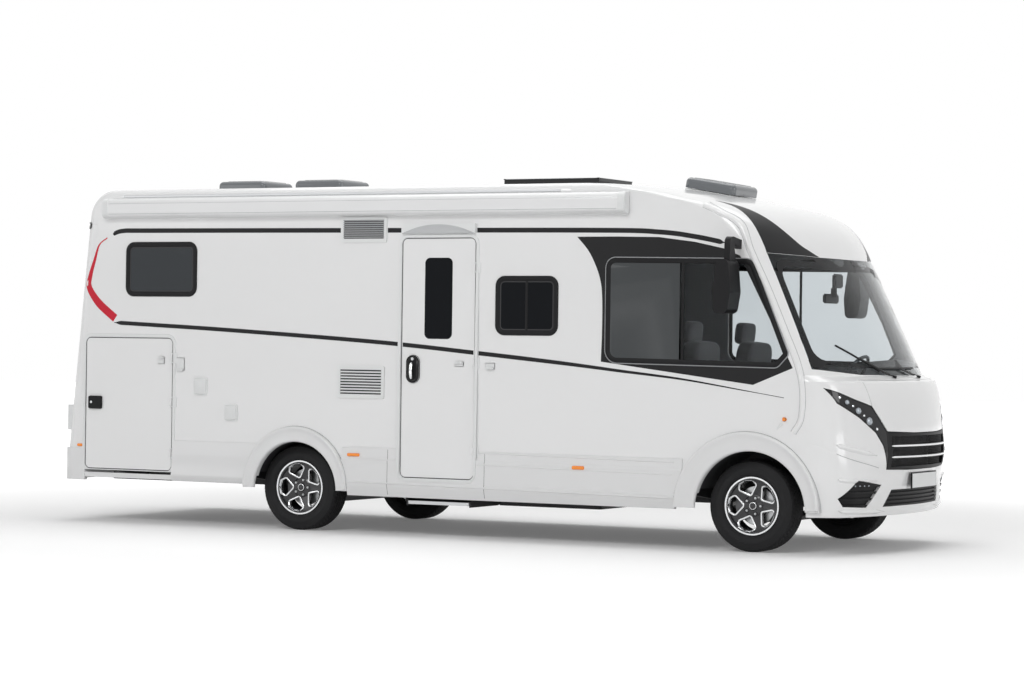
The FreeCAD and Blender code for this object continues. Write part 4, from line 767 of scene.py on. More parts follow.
def smoothed(normals: Points) -> Points:
    """Unit normals, each averaged with its neighbours along the line by the weights 1, 2, 3, 2, 1."""
    weights = np.array([1, 2, 3, 2, 1]) / 9
    wide = np.pad(normals, ((2, 2), (0, 0)), mode="edge")
    even = sum(w * wide[k:k + len(normals)] for k, w in enumerate(weights))
    return unit(even)


class View(Enum):
    """A side from which outlines are drawn and pressed onto a skin."""

    RIGHT = "right"
    LEFT = "left"
    FRONT = "front"
    REAR = "rear"
    TOP = "top"

    @property
    def along(self) -> Vector:
        """Direction of its rays."""
        return Vector({"right": (0, 1, 0), "left": (0, -1, 0), "front": (-1, 0, 0), "rear": (1, 0, 0),
                       "top": (0, 0, -1)}[self.value])

    def starts(self, flat: Points) -> Points:
        """Ray starts of flat outline places.

        Args:
            flat: Array of (n, 2) places: (x, z) on a side, (y, z) at an end, (x, y) from above.

        Returns:
            Array of (n, 3) places, all at the same distance outside the vehicle.
        """
        far = np.full(len(flat), REACH)
        if self in (View.RIGHT, View.LEFT):
            return np.stack([flat[:, 0], far * (-1 if self is View.RIGHT else 1), flat[:, 1]], 1)
        if self in (View.FRONT, View.REAR):
            return np.stack([far * (1 if self is View.FRONT else -1), flat[:, 0], flat[:, 1]], 1)
        return np.stack([flat[:, 0], flat[:, 1], far], 1)


@dataclass
class Press:
    """Presses flat outlines onto a skin from one side and makes closed trim there, its rim buried."""

    skin: Skin
    view: View
    piece: Piece

    def laid(self, flat: Points, height: float) -> Points:
        """Flat places laid on the skin and raised by a height."""
        return self.skin.cast(self.view.starts(flat), self.view.along, height)

    def band(self, name: str, rings: list[tuple[Points, float]]) -> None:
        """Closed ring of trim.

        Args:
            name: Piece name.
            rings: Flat loops of equal count from the outer edge to the inner one, each with its height.
        """
        loops = [(rings[0][0], -BURIED)] + rings + [(rings[-1][0], -BURIED)]
        solid(name, [self.laid(*loop) for loop in loops], self.piece, close=False)

    def strip(self, name: str, edges: tuple[Points, Points], profile: tuple) -> None:
        """Moulding between two flat lines of equal count.

        Args:
            name: Piece name.
            edges: Its long edges, each (n, 2).
            profile: (share of the way from the first edge to the second, height) of each row.
        """
        first, second = edges
        flats = [first * (1 - share) + second * share for share, _ in profile]
        top = [self.laid(flat, height) for flat, (_, height) in zip(flats, profile)]
        low = [self.laid(flat, -SUNK) for flat in flats]
        rows, columns = len(profile), len(first)
        loops = top + low[::-1]
        faces = grid_faces(len(loops), columns, round_rows=True)
        for column, flip in ((0, False), (columns - 1, True)):
            for k in range(rows - 1):
                quad = [i * columns + column for i in (k, k + 1, 2 * rows - 2 - k, 2 * rows - 1 - k)]
                faces.append(tuple(quad if flip else quad[::-1]))
        outward(place_mesh(name, np.concatenate(loops), faces, self.piece))

    def patch(self, name: str, edges: tuple[Points, Points], height: float = THIN, rows: int = 3,
              crown: float = 0.0) -> None:
        """Strip whose height rises from edge to edge by half a sine.

        Args:
            name: Piece name.
            edges: Its long edges, each (n, 2).
            height: Height at the edges.
            rows: Rows of points across it.
            crown: What its middle is higher than its edges.
        """
        profile = [(share, height + crown * sin(pi * share)) for share in np.linspace(0, 1, rows)]
        self.strip(name, edges, profile)

    def button(self, name: str, centre: tuple[float, float], profile: tuple, steps: int = 28) -> None:
        """Round piece turned about the middle of its place.

        Args:
            name: Piece name.
            centre: Its flat middle.
            profile: (radius, height) from the rim inwards.
            steps: Points round it.
        """
        angle = np.linspace(0, 2 * pi, steps, endpoint=False)
        circle = np.stack([np.cos(angle), np.sin(angle)], 1)
        loops = ((profile[0][0], -BURIED), *profile)
        solid(name, [self.laid(circle * r + centre, height) for r, height in loops], self.piece)

    def plaque(self, name: str, outline: Points, height: float, edge: float) -> None:
        """Raised plate of a convex outline.

        Args:
            name: Piece name.
            outline: Array of (n, 2) places.
            height: Its thickness over the skin.
            edge: Radius of its rounded rim.
        """
        rim = edge * RIM_SHARE
        steps = ((0.0, -BURIED), (0.0, height - edge), (rim, height - rim), (edge, height))
        solid(name, [self.laid(*loop) for loop in insets(outline, steps)], self.piece)


def smooth_line(knots: Points, count: int) -> Points:
    """Points on a Catmull-Rom curve, the cubic through each pair of knots with the slope of their neighbours.

    Args:
        knots: Places that the curve goes through.
        count: Number of points, spread evenly over the spans.

    Returns:
        Array of (count, 2) places.
    """
    knots = np.asarray(knots, float)
    padded = np.vstack([2 * knots[0] - knots[1], knots, 2 * knots[-1] - knots[-2]])
    u = np.linspace(0, len(knots) - 1 - 1e-9, count)
    k = u.astype(int)
    t = (u - k)[:, None]
    a, b, c, d = (padded[k + i] for i in range(4))
    return 0.5 * (2 * b + (c - a) * t + (2 * a - 5 * b + 4 * c - d) * t ** 2
                  + (3 * b - a - 3 * c + d) * t ** 3)


def beside(line: Points, half_width: Points | float) -> tuple[Points, Points]:
    """Both edges of a strip, each point moved at right angles to the line.

    Args:
        line: Array of (n, 2) places.
        half_width: One half width, or one for each point.

    Returns:
        The edge on the line's left and the one on its right.
    """
    tangent = unit(np.gradient(line, axis=0))
    across = np.stack([-tangent[:, 1], tangent[:, 0]], 1) * np.reshape(half_width, (-1, 1))
    return line + across, line - across


def blocks(name: str, boxes: list[tuple], piece: Piece, edge: float = 0.002) -> bpy.types.Object:
    """Many bevelled boxes in one mesh.

    Args:
        name: Piece name.
        boxes: (low corner, high corner) of each box.
        piece: Finish, body and slot.
        edge: Width of the rounded edges.

    Returns:
        The piece.
    """
    mesh = bmesh.new()
    for low, high in boxes:
        low, high = Vector(low), Vector(high)
        place = Matrix.Translation((low + high) / 2) @ Matrix.Diagonal((*(high - low), 1))
        bmesh.ops.create_cube(mesh, size=1, matrix=place)
    bmesh.ops.bevel(mesh, geom=list(mesh.edges), offset=edge, segments=2, affect="EDGES", clamp_overlap=True)
    data = bpy.data.meshes.new(name)
    mesh.to_mesh(data)
    mesh.free()
    data.polygons.foreach_set("use_smooth", [True] * len(data.polygons))
    data.set_sharp_from_angle(angle=radians(40))
    return dressed(name, data, piece)


def along_rear(x: float) -> float:
    """Model X of a place measured from the rear axle."""
    return REAR_AXLE + x


def side_outline(corners: tuple, radii: float | tuple, steps: int = 7) -> Points:
    """Rounded outline on a side.

    Args:
        corners: (x from the rear axle, z) in order.
        radii: One radius, or one for each corner.
        steps: Points on each arc.

    Returns:
        Array of (n, 2) model places.
    """
    return rounded_outline(np.array(corners, float) + (REAR_AXLE, 0), radii, steps)


def rect(x0: float, x1: float, z0: float, z1: float) -> tuple:
    """Corners of an upright rectangle."""
    return (x0, z0), (x1, z0), (x1, z1), (x0, z1)


def rays_from(centre: Points, outline: Points, angles: Points) -> Points:
    """Places where rays from a centre leave a closed outline: each ray's farthest crossing with an edge.

    Args:
        centre: Flat place inside the outline.
        outline: Array of (n, 2) places.
        angles: Directions of the rays.

    Returns:
        One place for each angle.
    """
    ray = np.stack([np.cos(angles), np.sin(angles)], 1)
    edge = np.roll(outline, -1, 0) - outline
    away = outline - centre
    cross = ray[:, :1] * edge[:, 1] - ray[:, 1:] * edge[:, 0]
    cross = np.where(np.abs(cross) < 1e-12, 1e-12, cross)
    t = (away[:, 0] * edge[:, 1] - away[:, 1] * edge[:, 0]) / cross
    s = (away[:, 0] * ray[:, 1:] - away[:, 1] * ray[:, :1]) / cross
    good = (t > 0) & (s >= -1e-6) & (s <= 1 + 1e-6)
    return centre + ray * np.where(good, t, 0).max(1)[:, None]


def between(outer: Points, inner: Points, rows: int) -> list[Points]:
    """Loops from an outer outline to an inner one, matched by the angle about the inner one's middle.

    Args:
        outer: Array of (n, 2) places.
        inner: Array of (m, 2) places inside it.
        rows: Number of loops.

    Returns:
        Loops of equal count, evenly spaced from the outer outline to the inner one.
    """
    centre = (inner.max(0) + inner.min(0)) / 2
    angles = np.concatenate([np.arctan2(*(line - centre).T[::-1]) for line in (outer, inner)])
    angles = np.unique(np.round(angles, 5))
    a, b = rays_from(centre, outer, angles), rays_from(centre, inner, angles)
    return [a * (1 - s) + b * s for s in np.linspace(0, 1, rows)]


@dataclass
class Wheel:
    """One road wheel: tread, bright edges of the alloy, bolts, cap and brake; radii and outward places."""

    end: str
    side: Side
    pitches: int = 64
    sidewall: tuple = ((0.202, 0.082), (0.226, 0.09), (0.234, 0.1), (0.242, 0.1075), (0.244, 0.109),
                       (0.246, 0.108), (0.256, 0.111), (0.27, 0.1122), (0.284, 0.1125), (0.286, 0.1112),
                       (0.3, 0.1096), (0.312, 0.1065), (0.328, 0.102), (0.329, 0.1032), (0.332, 0.103),
                       (0.3335, 0.1005), (0.341, 0.095), (0.346, 0.088))
    groove_places: tuple[float, ...] = (0.06, 0.03, 0.0)
    groove_half: float = 0.0045
    groove_floor_half: float = 0.0033
    groove_depth: float = 0.008
    sipe_depth: float = 0.006
    sipe_lean: float = 0.012
    shoulder: tuple[float, float] = (0.0635, 0.333)
    rim_edge: tuple = ((0.208, 0.0935), (0.21, 0.0968), (0.2215, 0.0972), (0.2235, 0.095), (0.222, 0.093))
    spokes: int = 5
    window: tuple = ((0.086, 0), (0.164, 25), (0.184, 16), (0.188, 0), (0.184, -16), (0.164, -25))
    window_radii: tuple[float, ...] = (0.01, 0.012, 0.003, 0.001, 0.003, 0.012)
    window_edge: tuple = ((-0.0125, 0.0004), (-0.0115, 0.0014), (-0.0025, 0.0014), (-0.0008, 0.0002))
    bolt_circle: float = 0.062
    bolt_seat: tuple = ((0.0155, 0.0012), (0.014, 0.0022), (0.0125, 0.0006))
    bolt: tuple = ((0.0098, 0.009), (0.0086, 0.0105), (0.005, 0.0108), (0.0045, 0.0085))
    cap_ring: tuple = ((0.029, 0.0016), (0.0275, 0.0026), (0.025, 0.0026), (0.024, 0.001))
    cap: tuple = ((0.0235, 0.0018), (0.018, 0.003), (0.006, 0.0036))
    disc_face: tuple = ((0.079, -0.0059), (0.079, -0.0037), (0.147, -0.0037), (0.1495, -0.0053))
    disc_groove: tuple = ((0.108, -0.0049), (0.108, -0.0032), (0.111, -0.0032), (0.111, -0.0049))

    def __post_init__(self) -> None:
        """Reads the wheel's middle and radius from its packed tyre."""
        self.tag = f"{self.end}_{self.side.name.lower()}"
        self.body = f"wheel_{self.tag}"
        low, high = (np.array(corner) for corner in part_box(f"tyre_{self.tag}"))
        self.centre = (low + high) / 2
        self.radius = (high[2] - low[2]) / 2

    def build(self) -> None:
        """Makes the wheel's own pieces."""
        self._tyre()
        self._alloy()
        self.turned("disc_face", self.disc_face, FINISH.steel, 96)
        self.turned("disc_groove", self.disc_groove, FINISH.casting, 72)

    def flat(self, polar: list[tuple[float, float]]) -> Points:
        """(x, z) places of (radius, degrees) places of the wheel, mirrored on the left."""
        r, a = np.array(polar).T
        turn = np.radians(a)
        x = self.centre[0] - self.side.value * r * np.cos(turn)
        return np.stack([x, self.centre[2] + r * np.sin(turn)], 1)

    def rings(self, r: Points, out: Points, angle: Points) -> list[Points]:
        """Rings about the wheel axis: middle plus radius times the angle's cosine along x, its sine along z.

        Args:
            r: Radii, one for each ring or for each point of each ring.
            out: Place of each ring along the axis.
            angle: Angles of the points.

        Returns:
            An array of (n, 3) places for each ring.
        """
        return list(np.stack([self.centre[0] + r * np.cos(angle), self.centre[1] + out + 0 * angle,
                              self.centre[2] + r * np.sin(angle)], -1))

    def turned(self, name: str, profile: tuple, finish: Finish, steps: int) -> None:
        """Closed piece turned about the wheel axis.

        Args:
            name: Piece name, without the wheel's.
            profile: (radius, outward place) corners.
            finish: Its finish.
            steps: Points round it.
        """
        angle = np.linspace(0, 2 * pi, steps, endpoint=False)[None, :]
        r, out = (np.array(v)[:, None] for v in zip(*profile))
        rings = self.rings(r, self.side.value * out, angle)
        solid(f"{name}_{self.tag}", rings, Piece(finish, self.body, "alloy"), close=False, smooth=30)

    def _tyre(self) -> None:
        """Tyre that takes the solid's place: a profile turned about the axle, with grooves and slanted sipes.

        Each pitch of the tread has five columns of points, and one of them, which moves on across the tread,
        is cut.
        """
        crown = self.radius
        tread = [(crown - 0.001, 0.08), (crown - 0.0006, 0.07)]
        top, floor = crown - 0.0003, crown - self.groove_depth
        for place in self.groove_places:
            tread += [(top, place + self.groove_half), (floor, place + self.groove_floor_half)]
            if place > 0:
                tread += [(floor, place - self.groove_floor_half), (top, place - self.groove_half)]
        half = [*self.sidewall, *tread]
        profile = np.array(half + [(r, -y) for r, y in half[::-1]])
        columns = self.pitches * 5
        r = np.repeat(profile[:, :1], columns, 1)
        out, slant = profile[:, 1:], (np.abs(profile[:, 1:]) / self.sipe_lean).astype(int)
        cut = (np.arange(columns) + np.where(out > 0, slant, 2 - slant)) % 5 == 0
        shoulder = (np.abs(out) > self.shoulder[0]) & (profile[:, :1] > self.shoulder[1])
        on_tread = (profile[:, :1] > crown - 0.002) & (np.abs(out) > 0.02)
        r -= cut * np.where(shoulder, self.sipe_depth, np.where(on_tread, self.sipe_depth * 0.7, 0))
        rings = self.rings(r, out, np.linspace(0, 2 * pi, columns, endpoint=False))
        tyre = solid(f"tread_{self.tag}", rings, Piece(FINISH.tyre, self.body, "tyre"), close=False, smooth=28)
        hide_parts(f"tyre_{self.tag}")

    def _alloy(self) -> None:
        """Polished rim edge and window outlines, bolts and cap."""
        self.turned("rim_edge", self.rim_edge, FINISH.alloy_bright, 96)
        rim, view = Skin(f"rim_{self.tag}"), View.RIGHT if self.side is Side.RIGHT else View.LEFT
        bright, dark, steel = (Press(rim, view, Piece(finish, self.body, "alloy"))
                               for finish in (FINISH.alloy_bright, FINISH.alloy_black, FINISH.steel))
        for k in range(self.spokes):
            middle = 360 / self.spokes * (k + 0.5)
            corners = self.flat([(r, middle + a) for r, a in self.window])
            outline = rounded_outline(corners, self.window_radii, 5)
            bright.band(f"spoke_edge_{k}_{self.tag}", insets(outline, self.window_edge))
            spot = self.flat([(self.bolt_circle, 360 / self.spokes * k)])[0]
            dark.button(f"bolt_seat_{k}_{self.tag}", spot, self.bolt_seat, 20)
            steel.button(f"bolt_{k}_{self.tag}", spot, self.bolt, 6)
        centre = self.centre[[0, 2]]
        bright.button(f"cap_ring_{self.tag}", centre, self.cap_ring, 40)
        dark.button(f"cap_{self.tag}", centre, self.cap, 40)


@dataclass
class Windows:
    """Frames and seals round the windows; a pane is (rear, front, low, high) from the rear axle."""

    bedroom: tuple = (-1.649, -0.966, 1.929, 2.348)
    living: tuple = (1.904, 2.421, 1.638, 2.066)
    galley: tuple = (0.49, 0.99, 1.75, 2.15)
    lounge: tuple = (1.49, 2.44, 1.5, 2.066)
    pane_radius: float = 0.06
    frame: tuple = ((-0.02, 0.0035), (-0.017, 0.008), (-0.011, 0.01), (0.004, 0.01), (0.016, 0.007),
                    (0.022, 0.0015))
    seal: tuple = ((0.02, 0.0012), (0.026, 0.0022), (0.031, 0.0006))
    divider_gap: float = 0.016
    cab: tuple = ((2.862, 1.428), (4.283, 1.41), (4.367, 1.5), (4.068, 2.205), (2.862, 2.218))
    cab_radii: tuple = (0.09, 0.055, 0.03, 0.07, 0.07)
    cab_frame: tuple = ((-0.01, 0.0008), (-0.007, 0.005), (0.002, 0.0062), (0.022, 0.005), (0.03, 0.0012))
    cab_bead: tuple = ((-0.017, 0.001), (-0.0145, 0.005), (-0.0105, 0.0055), (-0.0085, 0.002))
    cab_divider: tuple = (3.506, 1.432, 2.202)
    rear_pane: tuple = ((2.862, 1.4285), (3.506, 1.4205), (3.506, 2.21), (2.862, 2.218))
    rear_pane_radii: tuple = (0.09, 0.012, 0.012, 0.07)

    def build(self) -> None:
        """Frames every window of both sides."""
        for view, names in ((View.RIGHT, ("bedroom", "living")), (View.LEFT, ("bedroom", "galley", "lounge"))):
            black, seal, bead = (Press(SKINS[view], view, Piece(finish))
                                 for finish in (FINISH.black_plastic, FINISH.seal, FINISH.grey_plastic))
            for name in names:
                x0, x1, z0, z1 = getattr(self, name)
                outline = side_outline(rect(x0, x1, z0, z1), self.pane_radius)
                black.band(f"frame_{name}_{view.value}", insets(outline, self.frame))
                seal.band(f"seal_{name}_{view.value}", insets(outline, self.seal))
                if name != "bedroom":
                    self._divider(f"divider_{name}_{view.value}", ((x0 + x1) / 2, z0, z1), black)
            black.band(f"cab_frame_{view.value}", insets(self.cab_outline(), self.cab_frame))
            bead.band(f"cab_bead_{view.value}", insets(self.cab_outline(), self.cab_bead))
            self._divider(f"divider_cab_{view.value}", self.cab_divider, black)
        pane = shrunk(side_outline(self.rear_pane, self.rear_pane_radii), 0.028)
        tinted = Press(Skin("side_windows"), View.RIGHT, Piece(FINISH.tinted, slot="dark_glass"))
        tinted.plaque("cab_rear_pane_right", pane, 0.001, 0.0004)

    def cab_outline(self) -> Points:
        """Rounded outline of the cab window."""
        return side_outline(self.cab, self.cab_radii, 9)

    def _divider(self, name: str, place: tuple[float, float, float], black: Press) -> None:
        """Upright bar between two sliding panes.

        Args:
            name: Piece name.
            place: Its x from the rear axle, and the pane's low and high edges.
            black: The press of its side.
        """
        x, z0, z1 = place
        z = np.linspace(z0 + self.divider_gap, z1 - self.divider_gap, 9)
        line = np.stack([np.full(9, along_rear(x)), z], 1)
        black.patch(name, beside(line, 0.011), 0.002, 5, 0.004)


@dataclass
class Stripes:
    """Painted lines and fields on both sides; places are measured from the rear axle."""

    upper: tuple = ((-1.81, 2.437), (-1.7, 2.463), (-1.4, 2.463), (0.6, 2.452), (2.786, 2.438), (3.306, 2.421),
                    (3.6, 2.385), (3.845, 2.338))
    lower: tuple = ((-1.785, 1.688), (-1.5, 1.676), (-0.6, 1.634), (0.796, 1.553), (1.7, 1.478),
                    (2.462, 1.409), (3.0, 1.353), (3.511, 1.3), (4.0, 1.228), (4.345, 1.176))
    bracket: tuple = ((-1.868, 2.405), (-1.95, 2.345), (-1.995, 2.22), (-2.04, 2.08), (-2.048, 1.985),
                      (-1.95, 1.855), (-1.776, 1.7235))
    field_left: tuple = ((2.598, 2.389), (2.69, 2.29), (2.752, 2.186), (2.8, 2.065), (2.82, 1.93),
                         (2.823, 1.668), (2.816, 1.424))
    field_rest: tuple = ((4.093, 1.268), (4.413, 1.399), (3.972, 2.24), (3.841, 2.294), (3.6, 2.345),
                         (3.298, 2.383), (2.95, 2.389))
    field_gap: float = 0.012
    upper_half: float = 0.019
    lower_half: float = 0.017
    bracket_half: float = 0.035
    upper_spans: tuple = ((-9.0, 0.452), (0.893, 1.028), (1.713, 9.0))
    lower_spans: tuple = ((-9.0, 1.002), (1.045, 1.693), (1.738, 9.0))
    whole: tuple = ((-9.0, 9.0),)

    def build(self) -> None:
        """Presses the lines onto both sides; the door carries its own length of the lower one."""
        on_door = Press(Skin("entrance_door"), View.RIGHT, Piece(FINISH.decal_black, "door", "body_white"))
        for view in (View.RIGHT, View.LEFT):
            tag, right = view.value, view is View.RIGHT
            black, red = (Press(SKINS[view], view, Piece(finish, slot="body_white"))
                          for finish in (FINISH.decal_black, FINISH.decal_red))
            line = self._tapered(self.upper, self.upper_half, (0.02, 0.02), 360)
            for k, span in enumerate(self.upper_spans if right else self.whole):
                self._span(f"upper_stripe_{k}_{tag}", line, span, black)
            line = self._tapered(self.lower, self.lower_half, (0.03, 0.5), 360)
            for k, span in enumerate(self.lower_spans if right else self.whole):
                self._span(f"lower_stripe_{k}_{tag}", line, span, on_door if right and k == 1 else black)
            red.patch(f"red_bracket_{tag}",
                      beside(*self._tapered(self.bracket, self.bracket_half, (0.85, 0), 80)))
            outline = np.vstack([smooth_line(self.field_left, 24), self.field_rest]) + (REAR_AXLE, 0)
            loops = between(outline, shrunk(Windows().cab_outline(), -self.field_gap), 6)
            black.band(f"cab_field_{tag}", [(loop, THIN) for loop in loops])

    @staticmethod
    def _tapered(knots: tuple, half_width: float, tapers: tuple, count: int) -> tuple[Points, Points]:
        """Line through knots, narrowed towards its ends in proportion to the way from the end.

        Args:
            knots: Places that it goes through.
            half_width: Its half width.
            tapers: Share of the length over which it narrows, at the first and the last end.
            count: Number of points.

        Returns:
            Its (count, 2) places and the half width at each.
        """
        share = np.linspace(0, 1, count)
        width = np.full(count, half_width)
        for taper, way in zip(tapers, (share, 1 - share)):
            if taper > 0:
                width *= np.clip(way / taper, 0.14, 1)
        return smooth_line(np.array(knots) + (REAR_AXLE, 0), count), width

    @staticmethod
    def _span(name: str, tapered: tuple[Points, Points], span: tuple[float, float], press: Press) -> None:
        """Length of a line between two places.

        Args:
            name: Piece name.
            tapered: The line and its half widths.
            span: Its ends.
            press: What it is pressed with.
        """
        line, width = tapered
        x = np.linspace(max(line[0, 0], along_rear(span[0])), min(line[-1, 0], along_rear(span[1])), 160)
        part = np.stack([x, np.interp(x, line[:, 0], line[:, 1])], 1)
        half = np.stack([0 * x, np.interp(x, line[:, 0], width)], 1)
        press.patch(name, (part + half, part - half))


@dataclass
class Doors:
    """Frames, seals, handle, locks, rain hood and catches; doors as (rear, front, low, high)."""

    entrance: tuple = (1.039, 1.699, 0.478, 2.381)
    garage: tuple = (-2.064, -1.186, 0.455, 1.557)
    radius: float = 0.046
    frame: tuple = ((-0.036, 0.0006), (-0.034, 0.0049), (-0.029, 0.007), (-0.014, 0.007), (-0.009, 0.0042),
                    (-0.0078, 0.0002))
    seal: tuple = ((-0.0078, -0.006), (-0.007, 0.0004), (-0.0045, 0.0008), (-0.0015, -0.0006),
                   (-0.0012, -0.006))
    handle: tuple = (1.086, 1.204, 1.23, 1.452)
    handle_radius: float = 0.056
    handle_rim: tuple = ((0.012, 0.0045), (0.016, 0.01), (0.022, 0.006))
    grip: tuple = ((1.262, 0.006), (1.275, 0.013), (1.38, 0.013), (1.392, 0.006))
    grip_stand: float = 0.034
    grip_bow: float = 0.01
    door_lock: tuple = ((0.013, 0.006), (0.012, 0.008), (0.004, 0.0082), (0.003, 0.006))
    door_lock_z: float = 1.422
    garage_lock: tuple = (-2.03, -1.9, 0.957, 1.064)
    barrel: tuple = ((0.011, 0.0146), (0.009, 0.016), (0.003, 0.016), (0.003, 0.0146))
    barrel_place: tuple = (-2.0, 1.012)
    hood: tuple = ((1.04, 2.424), (1.15, 2.463), (1.2575, 2.486), (1.37, 2.493), (1.4825, 2.486),
                   (1.59, 2.463), (1.701, 2.424))
    catches: tuple = (("door", 1.524, 1.607, 1.366, 1.406, "door"),
                      ("wall", 1.802, 1.888, 1.348, 1.399, "coach"),
                      ("garage", -1.33, -1.262, 1.345, 1.405, "garage_flap_right"),
                      ("garage_wall", -1.14, -1.06, 1.29, 1.4, "coach"))
    peg: float = 0.018

    def build(self) -> None:
        """Dresses the doors of both sides."""
        for name, door, view in (("entrance", self.entrance, View.RIGHT),
                                 ("garage_right", self.garage, View.RIGHT),
                                 ("garage_left", self.garage, View.LEFT)):
            self._frame(name, side_outline(rect(*door), self.radius), view)
        for view in (View.RIGHT, View.LEFT):
            skin, body = Skin(f"garage_door_{view.value}"), f"garage_flap_{view.value}"
            outline = shrunk(side_outline(rect(*self.garage_lock), 0.014), -0.002)
            plate = Press(skin, view, Piece(FINISH.black_plastic, body))
            plate.plaque(f"garage_lock_{view.value}", outline, 0.014, 0.003)
            x, z = self.barrel_place
            barrel = Press(skin, view, Piece(FINISH.steel, body, "alloy"))
            barrel.button(f"lock_barrel_{view.value}", (along_rear(x), z), self.barrel)
        self._handle()
        self._hood()
        self._catches()

    def _frame(self, name: str, outline: Points, view: View) -> None:
        """White frame profile and its dark seal round a door.

        Args:
            name: The door's name.
            outline: Its rounded outline.
            view: Its side.
        """
        white = Press(SKINS[view], view, WHITE)
        white.band(f"door_frame_{name}", insets(outline, self.frame))
        side = -1 if view is View.RIGHT else 1
        rings = [np.stack([flat[:, 0], np.full(len(flat), side * (HALF_WIDTH + height)), flat[:, 1]], 1)
                 for flat, height in insets(outline, self.seal)]
        solid(f"door_seal_{name}", rings, SEAL, close=False)

    def _handle(self) -> None:
        """Oval black plate, the lock, and the grip: a round bar whose path bows out by half a sine."""
        black, rim, steel = (Press(Skin("entrance_door"), View.RIGHT, piece)
                             for piece in (Piece(FINISH.black_plastic, "door"),
                                           Piece(FINISH.gloss_black, "door"),
                                           Piece(FINISH.steel, "door", "alloy")))
        outline = side_outline(rect(*self.handle), self.handle_radius, 10)
        black.plaque("handle_plate", shrunk(outline, -0.002), 0.004, 0.003)
        rim.band("handle_rim", insets(outline, self.handle_rim))
        x = along_rear((self.handle[0] + self.handle[1]) / 2)
        heights, radii = zip(*self.grip)
        z = np.linspace(heights[0], heights[-1], 15)
        out = self.grip_stand + self.grip_bow * np.sin(np.linspace(0, pi, 15))
        path = np.stack([np.full(15, x), -HALF_WIDTH - out, z], 1)
        tangent = unit(np.gradient(path, axis=0))
        side = unit(np.cross(tangent, (1.0, 0, 0)))
        up = np.cross(side, tangent)
        angle = np.linspace(0, 2 * pi, 16, endpoint=False)[None, :, None]
        radius = np.interp(z, heights, radii)[:, None, None]
        rings = path[:, None] + radius * (np.cos(angle) * side[:, None] + np.sin(angle) * up[:, None])
        solid("handle_grip", list(rings), Piece(FINISH.chrome, "door", "alloy"))
        steel.button("door_lock", (x, self.door_lock_z), self.door_lock)

    def _hood(self) -> None:
        """Arched grey rain hood over the entrance door."""
        upper = smooth_line(np.array(self.hood) + (REAR_AXLE, 0), 60)
        lower = np.stack([upper[:, 0], np.full(60, self.hood[0][1] - 0.004)], 1)
        grey = Press(Skin("body_fittings", "side_wall_right", hugging=True), View.RIGHT,
                     Piece(FINISH.hood_grey, slot="white_plastic"))
        grey.patch("door_hood", (upper, lower), 0.0012, 9, 0.006)

    def _catches(self) -> None:
        """Door catches: a plate with a peg, at its top on a door and at its foot on the wall."""
        y = -HALF_WIDTH
        for name, x0, x1, z0, z1, body in self.catches:
            peg = (z0, z0 + self.peg) if body == "coach" else (z1 - self.peg, z1)
            boxes = [((along_rear(x0), y - 0.006, z0), (along_rear(x1), y + 0.001, z1)),
                     ((along_rear(x0) + 0.006, y - 0.026, peg[0]),
                      (along_rear(x1) - 0.006, y - 0.004, peg[1]))]
            blocks(f"catch_{name}", boxes, Piece(FINISH.white_plastic, body, "white_plastic"), 0.004)


